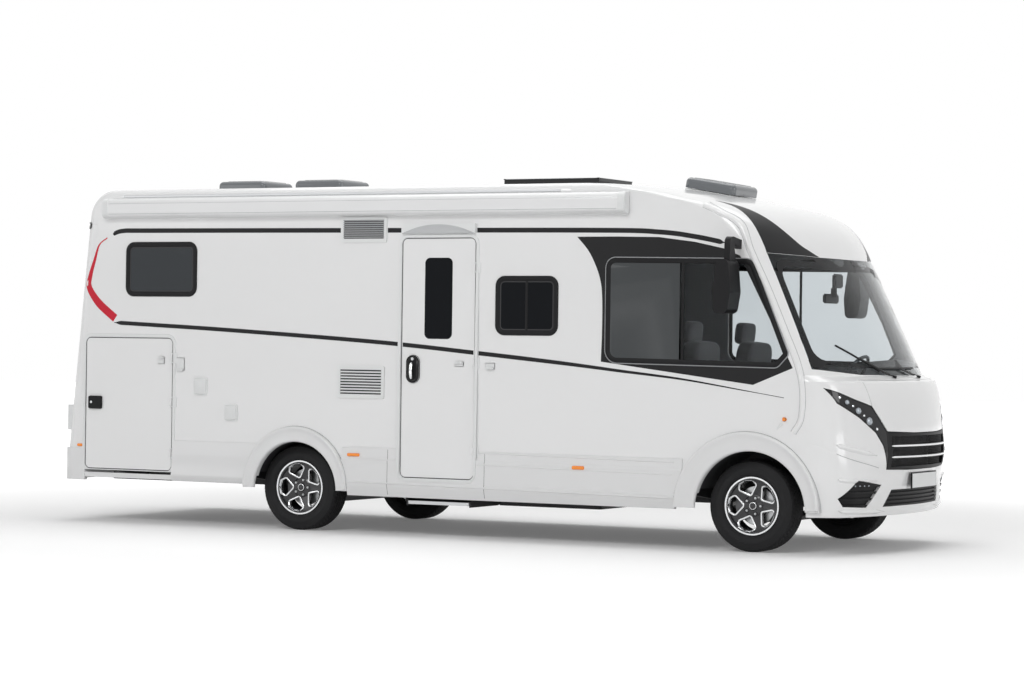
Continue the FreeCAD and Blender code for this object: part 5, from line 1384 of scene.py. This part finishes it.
@dataclass
class SideFittings:
    """Vents, service flaps, markers and corner lamps, as (rear, front, low, high) from the rear axle."""

    upper_vent: tuple = (0.457, 0.888, 2.352, 2.56)
    lower_vent: tuple = (0.44, 0.88, 1.096, 1.361)
    vent_edge: float = 0.028
    vent_proud: float = 0.0036
    vent_slats: int = 9
    flaps: tuple = ((-0.965, -0.828, 1.089, 1.241), (-0.656, -0.524, 0.882, 1.023))
    markers: tuple = ((0.545, 0.66, 0.628, 0.653), (2.587, 2.692, 0.586, 0.612), (-2.15, -2.1, 0.632, 0.656))
    corner_lamp: tuple = (-2.085, -2.03, 2.482, 2.54)
    repeater: tuple = ((0.0155, 0.002), (0.014, 0.006), (0.009, 0.009), (0.003, 0.01))
    repeater_place: tuple = (4.355, 1.015)
    repeater_foot: tuple = ((4.33, 0.985), (4.312, 0.962), (4.295, 0.94))
    repeater_foot_half: tuple = (0.014, 0.01, 0.004)

    def build(self) -> None:
        """Dresses both sides."""
        self._vent("upper", self.upper_vent, FINISH.grey_plastic)
        self._vent("lower", self.lower_vent, FINISH.white_plastic)
        wall = Press(Skin("body_fittings", "side_wall_right"), View.RIGHT,
                     WHITE)
        for k, flap in enumerate(self.flaps):
            wall.plaque(f"service_flap_{k}", shrunk(side_outline(rect(*flap), 0.022), 0.012), 0.012, 0.005)
        for view in (View.RIGHT, View.LEFT):
            self._lights(view)

    def _vent(self, name: str, vent: tuple, finish: Finish) -> None:
        """Pale slats of a refrigerator vent, and black strips behind them that are painted shade in its
        openings.

        Args:
            name: Upper or lower.
            vent: Its rectangle.
            finish: Finish of its slats.
        """
        front = -HALF_WIDTH - self.vent_proud
        x0, x1, z0, z1 = vent
        x0, x1 = along_rear(x0) + self.vent_edge, along_rear(x1) - self.vent_edge
        pitch = (z1 - z0 - 2 * self.vent_edge) / self.vent_slats
        lows = [z0 + self.vent_edge + pitch * (k + 0.25) for k in range(self.vent_slats)]
        slots = [((x0, front, low + 0.0005), (x1, front + 0.001, low + pitch / 2 - 0.0005)) for low in lows]
        slats = [((x0 - 0.004, front - 0.009, low + pitch / 2 + 0.001),
                  (x1 + 0.004, front - 0.006, low + pitch - 0.001)) for low in lows]
        # Black strips behind the slats: painted shade in the vent's openings.
        blocks(f"vent_slots_{name}", slots, SEAL, 0.0002)
        blocks(f"vent_slats_{name}", slats, Piece(finish, slot="white_plastic"), 0.001)

    def _lights(self, view: View) -> None:
        """Amber side markers, the dark corner lamp and the repeater on its foot.

        Args:
            view: The side.
        """
        amber = Piece(FINISH.amber, slot="lamp_lens")
        side = Press(SKINS[view], view, amber)
        for k, marker in enumerate(self.markers):
            side.plaque(f"marker_{k}_{view.value}", side_outline(rect(*marker), 0.009, 5), 0.01, 0.004)
        corner = Press(SKINS[view], view, Piece(FINISH.gloss_black))
        corner.plaque(f"corner_lamp_{view.value}", side_outline(rect(*self.corner_lamp), 0.024, 6), 0.009,
                      0.004)
        lamp = Press(Skin("lamps", "side_wall_right", "side_wall_left", "front_mask"), view, amber)
        x, z = self.repeater_place
        lamp.button(f"repeater_{view.value}", (along_rear(x), z), self.repeater)
        foot = Press(SKINS[view], view, WHITE)
        line = np.array(self.repeater_foot) + (REAR_AXLE, 0)
        foot.patch(f"repeater_foot_{view.value}", beside(line, self.repeater_foot_half), 0.002, 5, 0.004)


@dataclass
class Skirt:
    """Arch trims, long ridges, seams, the skirt behind the rear arch and the corner moulding of both sides.

    A circle is (x from the rear axle, z, radius); a profile is (share of the width, height over the skin).
    """

    arches: dict = field(default_factory=lambda: {
        "rear": ((0.05, 0.335, 0.3965), (0.045, 0.357, 0.4985)),
        "front": ((4.08, 0.318, 0.4535), (4.046, 0.322, 0.5935))})
    flare: tuple = ((0.0, 0.0004), (0.02, 0.006), (0.06, 0.0095), (0.12, 0.0105), (0.22, 0.0085),
                    (0.36, 0.005), (0.52, 0.0042), (0.66, 0.0065), (0.76, 0.012), (0.84, 0.0165),
                    (0.9, 0.0175), (0.95, 0.015), (0.985, 0.0085), (1.0, 0.0006))
    ridges: tuple = ((0.704, 0.668, 0.007, 0.005, ((0.552, 0.999), (1.741, 3.45))),
                     (0.612, 0.572, 0.005, 0.003, ((0.56, 0.999), (1.741, 3.44))),
                     (0.424, 0.394, 0.007, 0.005, ((0.548, 3.455),)))
    ridge_reach: tuple[float, float] = (0.545, 3.47)
    seams: tuple = (0.923, 1.81)
    seam_z: tuple[float, float] = (0.33, 0.69)
    seam_half: float = 0.0013
    rear_skirt_x: float = -1.172
    section: tuple = ((-0.002, 0.712), (0.006, 0.705), (0.009, 0.7), (0.008, 0.626), (0.016, 0.606),
                      (0.015, 0.57), (0.016, 0.44), (0.022, 0.43), (0.022, 0.418), (0.018, 0.402),
                      (0.002, 0.372), (-0.03, 0.368), (-0.03, 0.376), (-0.002, 0.384), (-0.002, 0.42))
    sill: tuple = (-2.085, 0.376, 0.4175)
    bead_knots: tuple = ((3.668, 2.63), (3.8, 2.57), (3.962, 2.472), (4.06, 2.26), (4.195, 1.99),
                         (4.335, 1.683), (4.445, 1.433), (4.492, 1.247), (4.485, 1.029), (4.425, 0.915))
    bead_half: float = 0.02
    bead_seam: float = 0.0235

    def build(self) -> None:
        """Dresses both sides."""
        for view in (View.RIGHT, View.LEFT):
            paint, grey, seal, body = (Press(SKINS[view], view, piece) for piece in (
                SKIRT_SHADED, GREY, SEAL,
                BODY))
            self._arches(view.value, paint, grey)
            self._ridges(view.value, paint)
            self._rear_skirt(view)
            for k, x in enumerate(self.seams):
                line = np.stack([np.full(40, along_rear(x)), np.linspace(*self.seam_z, 40)], 1)
                seal.patch(f"skirt_seam_{k}_{view.value}", beside(line, self.seam_half), 0.0006)
            line = smooth_line(np.array(self.bead_knots) + (REAR_AXLE, 0), 120)
            body.patch(f"corner_moulding_{view.value}", beside(line, self.bead_half), 0.001, 9, 0.013)
            for k, edge in enumerate(beside(line, self.bead_seam)):
                grey.patch(f"corner_seam_{k}_{view.value}", beside(edge, self.seam_half), 0.0005)

    def _arches(self, tag: str, paint: Press, grey: Press) -> None:
        """Moulded trim between the two circles of each arch, and the seam round it.

        Args:
            tag: The side's name.
            paint: Press of the trim, in the skirt white that is darkened as painted shade.
            grey: Press of the seam.
        """
        turn = np.radians(np.linspace(0.5, 179.5, 110))
        circle = np.stack([np.cos(turn), np.sin(turn)], 1)
        for name, rims in self.arches.items():
            inner, outer = (circle * r + (along_rear(x), z) for x, z, r in rims)
            paint.strip(f"arch_flare_{name}_{tag}", (inner, outer), self.flare)
            x, z, r = rims[1]
            seam = circle * (r + 0.002) + (along_rear(x), z)
            grey.patch(f"arch_seam_{name}_{tag}", beside(seam, 0.0014), 0.0006)

    def _ridges(self, tag: str, paint: Press) -> None:
        """Long ridges between the arches, which fall evenly from their rear height to their front one.

        Args:
            tag: The side's name.
            paint: Press of the ridges, in the skirt white that is darkened as painted shade.
        """
        for k, (z0, z1, half, crown, spans) in enumerate(self.ridges):
            for j, (a, b) in enumerate(spans):
                x = np.linspace(a, b, 100)
                line = np.stack([x + REAR_AXLE, np.interp(x, self.ridge_reach, [z0, z1])], 1)
                paint.patch(f"skirt_ridge_{k}_{j}_{tag}", beside(line, half), 0.0006, 7, crown)

    def _rear_skirt(self, view: View) -> None:
        """Skirt from the garage door to the rear arch, its section drawn along x to the arch, and the sill.

        Args:
            view: The side.
        """
        side = 1 if view is View.LEFT else -1
        # The rear skirt and sill take the skirt white, darkened as painted shade.
        paint = SKIRT_SHADED
        out, height = (np.array(self.section) + (HALF_WIDTH, 0)).T
        x, z, radius = self.arches["rear"][1]
        front = along_rear(x) - np.sqrt(radius ** 2 - (height - z) ** 2)
        rear = np.full(len(height), along_rear(self.rear_skirt_x))
        rings = [np.stack([rear * (1 - s) + front * s, side * out, height], 1) for s in np.linspace(0, 1, 12)]
        solid(f"rear_skirt_{view.value}", rings, paint)
        start, low, high = self.sill
        y0, y1 = sorted((side * (HALF_WIDTH + 0.001), side * (HALF_WIDTH - 0.012)))
        box = (along_rear(start), y0, low), (along_rear(self.rear_skirt_x - 0.004), y1, high)
        blocks(f"garage_sill_{view.value}", [box], paint, 0.0015)


@dataclass
class Roof:
    """Awning ends and lines, roof rails, lid frames and solar cells."""

    end_offsets: tuple = ((-0.004, 0.01), (-0.004, -0.004), (-0.004, 0.004), (-0.004, -0.006))
    end_radii: tuple = (0.042, 0.004, 0.01, 0.056)
    end_cover: float = 0.055
    end_proud: float = 0.006
    end_edge: float = 0.005
    lip: tuple[float, float] = (0.036, 0.0012)
    fold: tuple[float, float] = (-0.046, 0.0008)
    rail_z: float = 2.752
    rail_reach: tuple[float, float] = (-1.7, 2.45)
    rail_half: float = 0.011
    cells: tuple[int, int] = (9, 6)
    solar_edge: float = 0.022
    solar_gap: float = 0.004
    lids: dict[str, str] = field(default_factory=lambda: {
        "hatch_lid_rear": "hatch_rear", "hatch_lid_middle": "hatch_middle", "skylight_lid": "skylight"})
    hinge_margin: float = 0.075
    lid_margin: float = 0.035
    lid_rib: tuple = ((0.0, 0.0006), (0.002, 0.003), (0.008, 0.003), (0.01, 0.0006))

    def build(self) -> None:
        """Makes the roof's pieces."""
        self._awning()
        for view in (View.RIGHT, View.LEFT):
            x = np.linspace(along_rear(self.rail_reach[0]), along_rear(self.rail_reach[1]), 120)
            line = np.stack([x, np.full(120, self.rail_z)], 1)
            rail = Press(Skin("roof_panel", "front_mask", f"side_wall_{view.value}"), view,
                         Piece(FINISH.aluminium, slot="step_aluminium"))
            rail.patch(f"roof_rail_{view.value}", beside(line, self.rail_half), 0.002, 5, 0.004)
        self._solar()
        for node, body in self.lids.items():
            (x0, y0, _), (x1, y1, _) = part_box(node)
            m = self.lid_margin
            corners = rect(x0 + self.hinge_margin, x1 - m, y0 + m, y1 - m)
            rib = Press(Skin(node), View.TOP, Piece(FINISH.grey_plastic, body))
            rib.band(f"dome_rib_{node}", insets(rounded_outline(np.array(corners), 0.06, 6), self.lid_rib))

    def _awning(self) -> None:
        """Caps over both ends of the case, and the two fine lines along its face."""
        (x0, y0, z0), (x1, y1, z1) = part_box("awning")
        outline = rounded_outline(np.array(rect(y0, y1, z0, z1)) + self.end_offsets, self.end_radii, 6)
        small = shrunk(outline, self.end_proud)
        for name, low, high in (("rear", x0 - self.end_proud, x0 + self.end_cover),
                                ("front", x1 - self.end_cover, x1 + self.end_proud)):
            places = (low, low + self.end_edge, high - self.end_edge, high)
            rings = [np.insert(flat, 0, x, axis=1) for flat,
                     x in zip((small, outline, outline, small), places)]
            solid(f"awning_end_{name}", rings, Piece(FINISH.white_plastic, slot="awning_aluminium"))
        grey = Press(Skin("awning"), View.RIGHT, GREY)
        for name, z, half in (("lip", z0 + self.lip[0], self.lip[1]),
                              ("fold", z1 + self.fold[0], self.fold[1])):
            line = np.stack([np.linspace(x0 + 0.06, x1 - 0.06, 80), np.full(80, z)], 1)
            grey.patch(f"awning_{name}", beside(line, half), 0.0006)

    def _solar(self) -> None:
        """Aluminium edge and dark cells of the solar panel."""
        (x0, y0, _), (x1, y1, top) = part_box("solar_panel")
        edge, gap = self.solar_edge, self.solar_gap
        frame = [((a, b, top - 0.004), (c, d, top + 0.003)) for a, b, c,
                 d in ((x0, y0, x1, y0 + edge), (x0, y1 - edge, x1, y1), (x0, y0, x0 + edge, y1),
                       (x1 - edge, y0, x1, y1))]
        blocks("solar_edge", frame, Piece(FINISH.aluminium, slot="step_aluminium"), 0.001)
        columns, rows = self.cells
        step_x, step_y = (x1 - x0 - 2 * edge - gap) / columns, (y1 - y0 - 2 * edge - gap) / rows
        corners = [(x0 + edge + gap + i * step_x, y0 + edge + gap + j * step_y)
                   for i in range(columns) for j in range(rows)]
        cells = [((x, y, top - 0.001), (x + step_x - gap, y + step_y - gap, top + 0.0012)) for x, y in corners]
        blocks("solar_cells", cells, Piece(FINISH.cell, slot="solar_glass"), 0.0004)


@dataclass
class Screen:
    """Black border printed on the screen, black roof wedges and the sensor housing, as (y, z) places."""

    border: tuple = ((-1.105, 1.392), (-0.66, 1.352), (0, 1.346), (0.66, 1.352), (1.105, 1.392),
                     (1.066, 2.262), (0.52, 2.244), (0, 2.24), (-0.52, 2.244), (-1.066, 2.262))
    border_radii: tuple = (0.03, 0.3, 0.3, 0.3, 0.03, 0.05, 0.3, 0.3, 0.3, 0.05)
    border_gap: float = 0.003
    clear: tuple = ((-1.05, 1.47), (-0.64, 1.415), (0, 1.402), (0.64, 1.415), (1.05, 1.47), (1.012, 2.17),
                    (0.5, 2.15), (0, 2.145), (-0.5, 2.15), (-1.012, 2.17))
    clear_radii: tuple = (0.09, 0.3, 0.3, 0.3, 0.09, 0.1, 0.3, 0.3, 0.3, 0.1)
    wedge_outer: tuple = ((-1.068, 2.264), (-1.062, 2.35), (-1.048, 2.45), (-1.02, 2.55), (-0.975, 2.625),
                          (-0.93, 2.668))
    wedge_inner: tuple = ((-0.506, 2.246), (-0.6, 2.29), (-0.687, 2.34), (-0.78, 2.44), (-0.86, 2.56),
                          (-0.915, 2.664))
    wedge_rows: int = 24
    sensors: tuple = (((2.905, -0.085, 2.02), (2.935, 0.085, 2.13)), ((2.85, -0.14, 1.9), (2.88, 0.14, 1.975)),
                      ((2.865, -0.01, 1.95), (2.915, 0.01, 2.03)))

    def build(self) -> None:
        """Dresses the screen and the roof over it."""
        glass = Press(Skin("windscreen", hugging=True), View.FRONT, Piece(FINISH.decal_black, slot="glass"))
        outer = shrunk(rounded_outline(np.array(self.border), self.border_radii, 5), self.border_gap)
        inner = rounded_outline(np.array(self.clear), self.clear_radii, 5)
        glass.band("screen_border", [(loop, THIN) for loop in between(outer, inner, 6)])
        mask = Press(Skin("front_mask", hugging=True), View.FRONT,
                     Piece(FINISH.decal_black, slot="body_white"))
        for side in Side:
            outer, inner = (smooth_line(np.array(line) * (-side.value, 1), 40)
                            for line in (self.wedge_outer, self.wedge_inner))
            mask.patch(f"roof_wedge_{side.name.lower()}", (outer, inner), 0.001, self.wedge_rows)
        blocks("sensor_housing", list(self.sensors), BLACK, 0.01)


@dataclass
class Headlamps:
    """Projectors, small lamps and dark edge of the headlamps.

    Places are (y, z) on the right side; a profile is (share of the radius, height over the lamp).
    """

    outline: tuple = ((-1.134, 1.256), (-0.912, 1.172), (-0.752, 1.122), (-0.604, 0.925), (-0.608, 0.64),
                      (-0.668, 0.822), (-0.735, 0.92), (-0.886, 1.035), (-1.07, 1.14))
    projectors: tuple = ((-0.985, 1.15, 0.021), (-0.885, 1.086, 0.028), (-0.785, 1.008, 0.033))
    bezel: tuple = ((1.22, 0.001), (1.16, 0.0042), (1.0, 0.005), (0.93, 0.0012))
    eye: tuple = ((0.92, 0.0012), (0.75, 0.0065), (0.45, 0.0105), (0.12, 0.012))
    small: tuple = ((-1.045, 1.186, 0.009), (-0.934, 1.122, 0.008), (-0.835, 1.05, 0.008),
                    (-0.715, 0.948, 0.01))
    spot: tuple = ((1.0, 0.001), (0.8, 0.0032), (0.2, 0.0042))
    edge_inset: float = 0.006
    edge: tuple = ((0.0, 0.0004), (0.001, 0.002), (0.004, 0.002), (0.005, 0.0004))
    edge_points: int = 10

    def build(self) -> None:
        """Dresses both headlamps."""
        skin = Skin("lamps")
        gloss, lens, bright, black = (Press(skin, View.FRONT, Piece(finish, slot="lamp_lens")) for finish in (
            FINISH.gloss_black, FINISH.lamp_glass, FINISH.lamp_bright, FINISH.black_plastic))
        for side in Side:
            flip, tag = -side.value, side.name.lower()
            for k, (y, z, r) in enumerate(self.projectors):
                gloss.button(f"lamp_bezel_{k}_{tag}", (y * flip, z), self._scaled(self.bezel, r), 40)
                lens.button(f"lamp_eye_{k}_{tag}", (y * flip, z), self._scaled(self.eye, r), 40)
            for k, (y, z, r) in enumerate(self.small):
                bright.button(f"lamp_spot_{k}_{tag}", (y * flip, z), self._scaled(self.spot, r), 16)
            outline = shrunk(np.array(self.outline) * (flip, 1), self.edge_inset)
            black.band(f"lamp_edge_{tag}",
                       [(self._dense(loop), height) for loop, height in insets(outline, self.edge)])

    @staticmethod
    def _scaled(profile: tuple, radius: float) -> list[tuple[float, float]]:
        """Profile whose radii are shares of one radius."""
        return [(share * radius, height) for share, height in profile]

    def _dense(self, outline: Points) -> Points:
        """Outline with each of its straight sides divided evenly."""
        share = (np.arange(self.edge_points) / self.edge_points)[:, None]
        return (outline[:, None] * (1 - share) + np.roll(outline, -1, 0)[:, None] * share).reshape(-1, 2)


@dataclass
class Bumper:
    """Grille bars and mesh, fog lamp spots, number plate, seams and creases, as (y, z) places."""

    bars: tuple[float, float] = (0.735, 0.819)
    bar_half_length: float = 0.575
    bar_taper: float = 0.02
    bar_halves: tuple[float, float] = (0.0065, 0.002)
    slots: tuple[float, ...] = (0.662, 0.746, 0.83)
    slot_height: float = 0.062
    slot_half_length: float = 0.552
    mesh_depth: float = 0.018
    mesh_rows: int = 5
    fog_places: tuple[float, ...] = (-0.945, -0.895, -0.845, -0.795)
    fog_z: float = 0.524
    fog: tuple = ((0.0065, 0.002), (0.005, 0.0035), (0.002, 0.004))
    plate: tuple = (-0.26, 0.26, 0.492, 0.604)
    plate_border: float = 0.008
    seam: tuple = ((-1.085, 0.768), (-1.045, 0.746), (-0.96, 0.718), (-0.84, 0.688), (-0.705, 0.657))
    seam_half: float = 0.0022
    creases: tuple = (((-1.08, 0.578), (-1.06, 0.572), (-1.02, 0.566), (-0.9, 0.56), (-0.72, 0.556)),
                      ((-1.08, 0.832), (-1.05, 0.821), (-0.98, 0.8), (-0.86, 0.775), (-0.74, 0.752)),
                      ((-1.06, 0.343), (-1.0, 0.334), (-0.88, 0.33), (-0.7, 0.326), (-0.56, 0.325)))
    crease_half: float = 0.018

    def build(self) -> None:
        """Makes the pieces of the lower front."""
        self._grille()
        self._plate()
        self._creases()

    def _grille(self) -> None:
        """Bright bars over the grille, the fine mesh behind its slots, and the fog lamps' spots."""
        skin = Skin("grille", "front_bumper", "front_mask", "bonnet")
        chrome, reach = Press(skin, View.FRONT, Piece(FINISH.chrome)), self.bar_half_length
        wide, narrow = self.bar_halves
        for k, z in enumerate(self.bars):
            y = np.linspace(-reach, reach, 60)
            half = np.interp(np.abs(y), [0, reach - self.bar_taper, reach], [wide, wide, narrow])
            chrome.patch(f"grille_bar_{k}", beside(np.stack([y, np.full(60, z)], 1), half), 0.003, 7, 0.004)
        mesh: list = []
        for low in self.slots:
            y = np.linspace(-self.slot_half_length, self.slot_half_length, 70)
            behind = chrome.laid(np.stack([y, np.full(70, low - 0.006)], 1), -self.mesh_depth)
            mesh += [((x - 0.002, at - 0.0016, low - 0.002), (x + 0.002, at + 0.0016, low + 0.064))
                     for x, at, _ in behind]
            for k in range(1, self.mesh_rows):
                z = low + self.slot_height * k / self.mesh_rows
                mesh += [((x - 0.004, at - 0.0085, z - 0.001), (x + 0.001, at + 0.0085, z + 0.001))
                         for x, at, _ in behind]
        blocks("grille_mesh", mesh, BLACK, 0.0003)
        lens = Press(Skin("grille"), View.FRONT, Piece(FINISH.lamp_glass, slot="lamp_lens"))
        for side in Side:
            for k, y in enumerate(self.fog_places):
                lens.button(f"fog_spot_{k}_{side.name.lower()}", (-side.value * y, self.fog_z), self.fog, 14)

    def _plate(self) -> None:
        """Blank number plate in its frame."""
        y0, y1, z0, z1 = self.plate
        x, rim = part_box("front_bumper")[1][0] + 0.002, self.plate_border
        blocks("plate_frame", [((x, y0 - rim, z0 - rim), (x + 0.01, y1 + rim, z1 + rim))],
               BLACK, 0.003)
        blocks("number_plate", [((x + 0.006, y0, z0), (x + 0.0115, y1, z1))],
               WHITE, 0.002)

    def _creases(self) -> None:
        """Seam between mask and bumper, and the raised lines that run from the arch to the fog lamp."""
        skin = Skin("front_bumper", "front_mask", hugging=True)
        grey, body = (Press(skin, View.FRONT, piece) for piece in (
            GREY, BODY))
        taper = np.clip(np.minimum(np.linspace(0, 6, 60), np.linspace(5, 0, 60)), 0.15, 1)
        for side in Side:
            tag = side.name.lower()
            seam = smooth_line(np.array(self.seam) * (-side.value, 1), 50)
            grey.patch(f"bumper_seam_{tag}", beside(seam, self.seam_half), 0.0006)
            for k, knots in enumerate(self.creases):
                line = smooth_line(np.array(knots) * (-side.value, 1), 60)
                body.patch(f"bumper_crease_{k}_{tag}", beside(line, self.crease_half * taper), 0.0006, 9,
                           0.014)


@dataclass
class Mirrors:
    """Main and wide glass of each mirror, as (name, low edge, high edge)."""

    glasses: tuple = (("main", 1.935, 2.165), ("wide", 1.825, 1.915))
    from_tip: float = 0.1
    half: float = 0.078

    def build(self) -> None:
        """Dresses both mirrors."""
        glass = Press(Skin("mirrors"), View.REAR, Piece(FINISH.mirror_glass, slot="glass"))
        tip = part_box("mirrors")[1][1]
        for side in Side:
            y = side.value * (tip - self.from_tip)
            for name, z0, z1 in self.glasses:
                outline = rounded_outline(np.array(rect(y - self.half, y + self.half, z0, z1)), 0.022, 5)
                glass.plaque(f"mirror_{name}_{side.name.lower()}", outline, 0.003, 0.0015)


@dataclass
class Blinds:
    """Closed pleated blinds behind the living room's windows."""

    pleat: float = 0.02
    depth: float = 0.006
    thickness: float = 0.002
    overlap: float = 0.02
    behind_wall: float = 0.075

    def build(self) -> None:
        """Hangs each blind inside its window; its folds go in and out by turns."""
        windows = Windows()
        for name, pane, side in (("bedroom", windows.bedroom, -1), ("living", windows.living, -1),
                                 ("bedroom_left", windows.bedroom, 1), ("galley", windows.galley, 1),
                                 ("lounge", windows.lounge, 1)):
            rear, front, z0, z1 = pane
            count = int((z1 - z0 + 2 * self.overlap) / self.pleat) * 2 + 1
            z = np.linspace(z0 - self.overlap, z1 + self.overlap, count)
            fold = HALF_WIDTH - self.behind_wall + self.depth * (np.arange(count) % 2)
            x0, x1 = along_rear(rear) - self.overlap, along_rear(front) + self.overlap
            x, back = np.array([x0, x1, x1, x0]), np.array([0, 0, self.thickness, self.thickness])
            rings = [np.stack([x, side * (y - back), np.full(4, height)], 1) for y, height in zip(fold, z)]
            solid(f"blind_{name}", rings, Piece(FINISH.blind, slot="seat_fabric"), smooth=10)


@dataclass
class Tail:
    """Lenses of the tail lamps, the high stop lamp and the rear plate."""

    lamp_y: tuple[float, float] = (1.045, 1.14)
    stop: tuple = (-0.16, 0.16, 2.3, 2.325)
    plate: tuple = (-0.26, 0.26, 0.52, 0.632)
    plate_border: float = 0.008

    def build(self) -> None:
        """Dresses the rear."""
        skin, lenses = Skin("lamps", "rear_wall"), (("stop", 0.885, 0.976, FINISH.red_lens),
                                                    ("turn", 0.832, 0.88, FINISH.amber),
                                                    ("reverse", 0.78, 0.827, FINISH.lamp_bright))
        for side in Side:
            y0, y1 = (side.value * y for y in self.lamp_y)
            for name, z0, z1, finish in lenses:
                outline = rounded_outline(np.array(rect(y0, y1, z0, z1)), 0.01, 5)
                lens = Press(skin, View.REAR, Piece(finish, slot="lamp_lens"))
                lens.plaque(f"tail_{name}_{side.name.lower()}", outline, 0.006, 0.003)
        (x, _, _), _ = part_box("rear_bumper")
        y0, y1, z0, z1 = self.plate
        rim = self.plate_border
        blocks("rear_plate_frame", [((x - 0.006, y0 - rim, z0 - rim), (x + 0.004, y1 + rim, z1 + rim))],
               BLACK, 0.003)
        blocks("rear_plate", [((x - 0.0085, y0, z0), (x - 0.004, y1, z1))],
               WHITE, 0.002)
        lens = Press(Skin("rear_wall"), View.REAR, Piece(FINISH.red_lens, slot="lamp_lens"))
        lens.plaque("stop_lamp", rounded_outline(np.array(rect(*self.stop)), 0.01, 5), 0.01, 0.004)


@dataclass
class Cab:
    """Seats and dashboard details.

    A pad is (name, middle from the seat's foot, half sizes, lean, squareness); the lean is in radians, and the
    squareness is the power of the superellipsoid, 1 for a ball and near 0 for a box.
    """

    seat_x: float = 2.24
    driver_y: float = 0.52
    floor_z: float = 0.53
    pads: tuple = (("seat_cushion", (0.005, 0, 0.33), (0.265, 0.25, 0.07), 0.04, 0.32),
                   ("seat_back", (-0.275, 0, 0.72), (0.075, 0.24, 0.345), 0.13, 0.32),
                   ("seat_head", (-0.325, 0, 1.13), (0.05, 0.13, 0.088), 0.1, 0.45),
                   ("armrest_0", (-0.09, -0.2601, 0.5), (0.16, 0.026, 0.026), 0.0, 0.6),
                   ("armrest_1", (-0.09, 0.2601, 0.5), (0.16, 0.026, 0.026), 0.0, 0.6))
    fill: float = 0.85
    base: tuple = (0.17, 0.35, 0.59, 0.262)
    welt: tuple[float, float, float] = (0.55, 0.05, 0.035)
    grid: tuple[int, int] = (33, 64)

    def build(self) -> None:
        """Makes the cab's inside."""
        plastic = Piece(FINISH.dash, slot="dash_plastic")
        x, z, y = self.seat_x, self.floor_z, self.driver_y
        half, inner, outer, top = self.base
        for side in Side:
            tag = side.name.lower()
            for name, middle, halves, lean, square in self.pads:
                self._cushion(f"{name}_{tag}", np.array([x, side.value * y, z]) + middle, halves, lean, square)
            y0, y1 = sorted((side.value * inner, side.value * outer))
            base = blocks(f"seat_base_{tag}", [((x - half, y0, z), (x + half, y1, z + top))], plastic, 0.012)
            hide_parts("cab_seats")
        blocks("instrument_hood", [((2.99, y - 0.21, 1.235), (3.18, y + 0.21, 1.31)),
                                   ((3.02, -0.15, 1.215), (3.055, 0.17, 1.38))], plastic, 0.018)
        blocks("display", [((3.014, -0.135, 1.232), (3.021, 0.155, 1.366))], Piece(FINISH.gloss_black), 0.003)

    def _cushion(self, name: str, centre: Points, halves: tuple, lean: float, square: float) -> None:
        """Upholstered block with a sewn welt line, tipped back.

        It is a superellipsoid: the sines and cosines of a ball are raised to the power of its squareness, with
        their signs kept. The welt draws it in by a bell curve of the height.

        Args:
            name: Piece name.
            centre: Its middle.
            halves: Half sizes along x, y and z.
            lean: Angle that it is tipped back by.
            square: Its squareness.
        """
        rows, columns = self.grid
        u, v = np.meshgrid(np.linspace(0, 2 * pi, columns, endpoint=False), np.linspace(-pi / 2, pi / 2, rows))
        cu, su, cv, sv = (np.sign(wave) * np.abs(wave) ** square
                          for wave in (np.cos(u), np.sin(u), np.cos(v), np.sin(v)))
        place, width, depth = self.welt
        drawn = 1 - depth * np.exp(-((sv - place) / width) ** 2)
        points = np.stack([cv * cu * halves[0] * drawn, cv * su * halves[1] * drawn, sv * halves[2]], -1)
        c, s = cos(lean), sin(lean)
        points = points.reshape(-1, 3) @ np.array([[c, 0, -s], [0, 1, 0], [s, 0, c]]) + centre
        made = place_mesh(name, points, grid_faces(rows, columns, round_columns=True),
                          Piece(FINISH.cloth, slot="seat_fabric"), 80)
        outward(made, merge=1e-5)
        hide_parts("cab_seats")


@dataclass
class Step:
    """Rubber treads on the entry step."""

    ribs: int = 9
    margin: float = 0.02
    share: float = 0.55

    def build(self) -> None:
        """Lays the ribs across the tread."""
        (x0, y0, _), (x1, y1, top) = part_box("entry_step")
        pitch = (y1 - y0 - 2 * self.margin) / self.ribs
        lows = [y0 + self.margin + k * pitch for k in range(self.ribs)]
        ribs = [((x0 + self.margin, low, top - 0.001),
                 (x1 - self.margin, low + self.share * pitch, top + 0.002)) for low in lows]
        blocks("step_treads", ribs, Piece(FINISH.seal, "step"), 0.0008)


def main() -> None:
    """Builds every sub-assembly in order."""
    global FRAME, SHOP, REAR_AXLE, HALF_WIDTH
    logging.basicConfig(level=logging.INFO, format="%(relativeCreated)6.0f ms: %(message)s")
    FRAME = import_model()
    SHOP = MaterialShop()
    tyre_low, tyre_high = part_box("tyre_rear_right")
    REAR_AXLE = (tyre_low[0] + tyre_high[0]) / 2
    HALF_WIDTH = -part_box("side_wall_right")[0][1]
    SKINS.update({View.RIGHT: Skin(*OUTER_RIGHT, hugging=True), View.LEFT: Skin(*OUTER_LEFT, hugging=True)})
    Studio().build()
    for end in ("rear", "front"):
        for side in Side:
            Wheel(end, side).build()
    for assembly in (Windows(), Stripes(), Doors(), SideFittings(), Skirt(), Roof(), Screen(), Headlamps(),
                     Bumper(), Mirrors(), Blinds(), Tail(), Cab(), Step()):
        assembly.build()
    Panels().build(FRAME["nodes"])


if __name__ == "__main__":
    main()
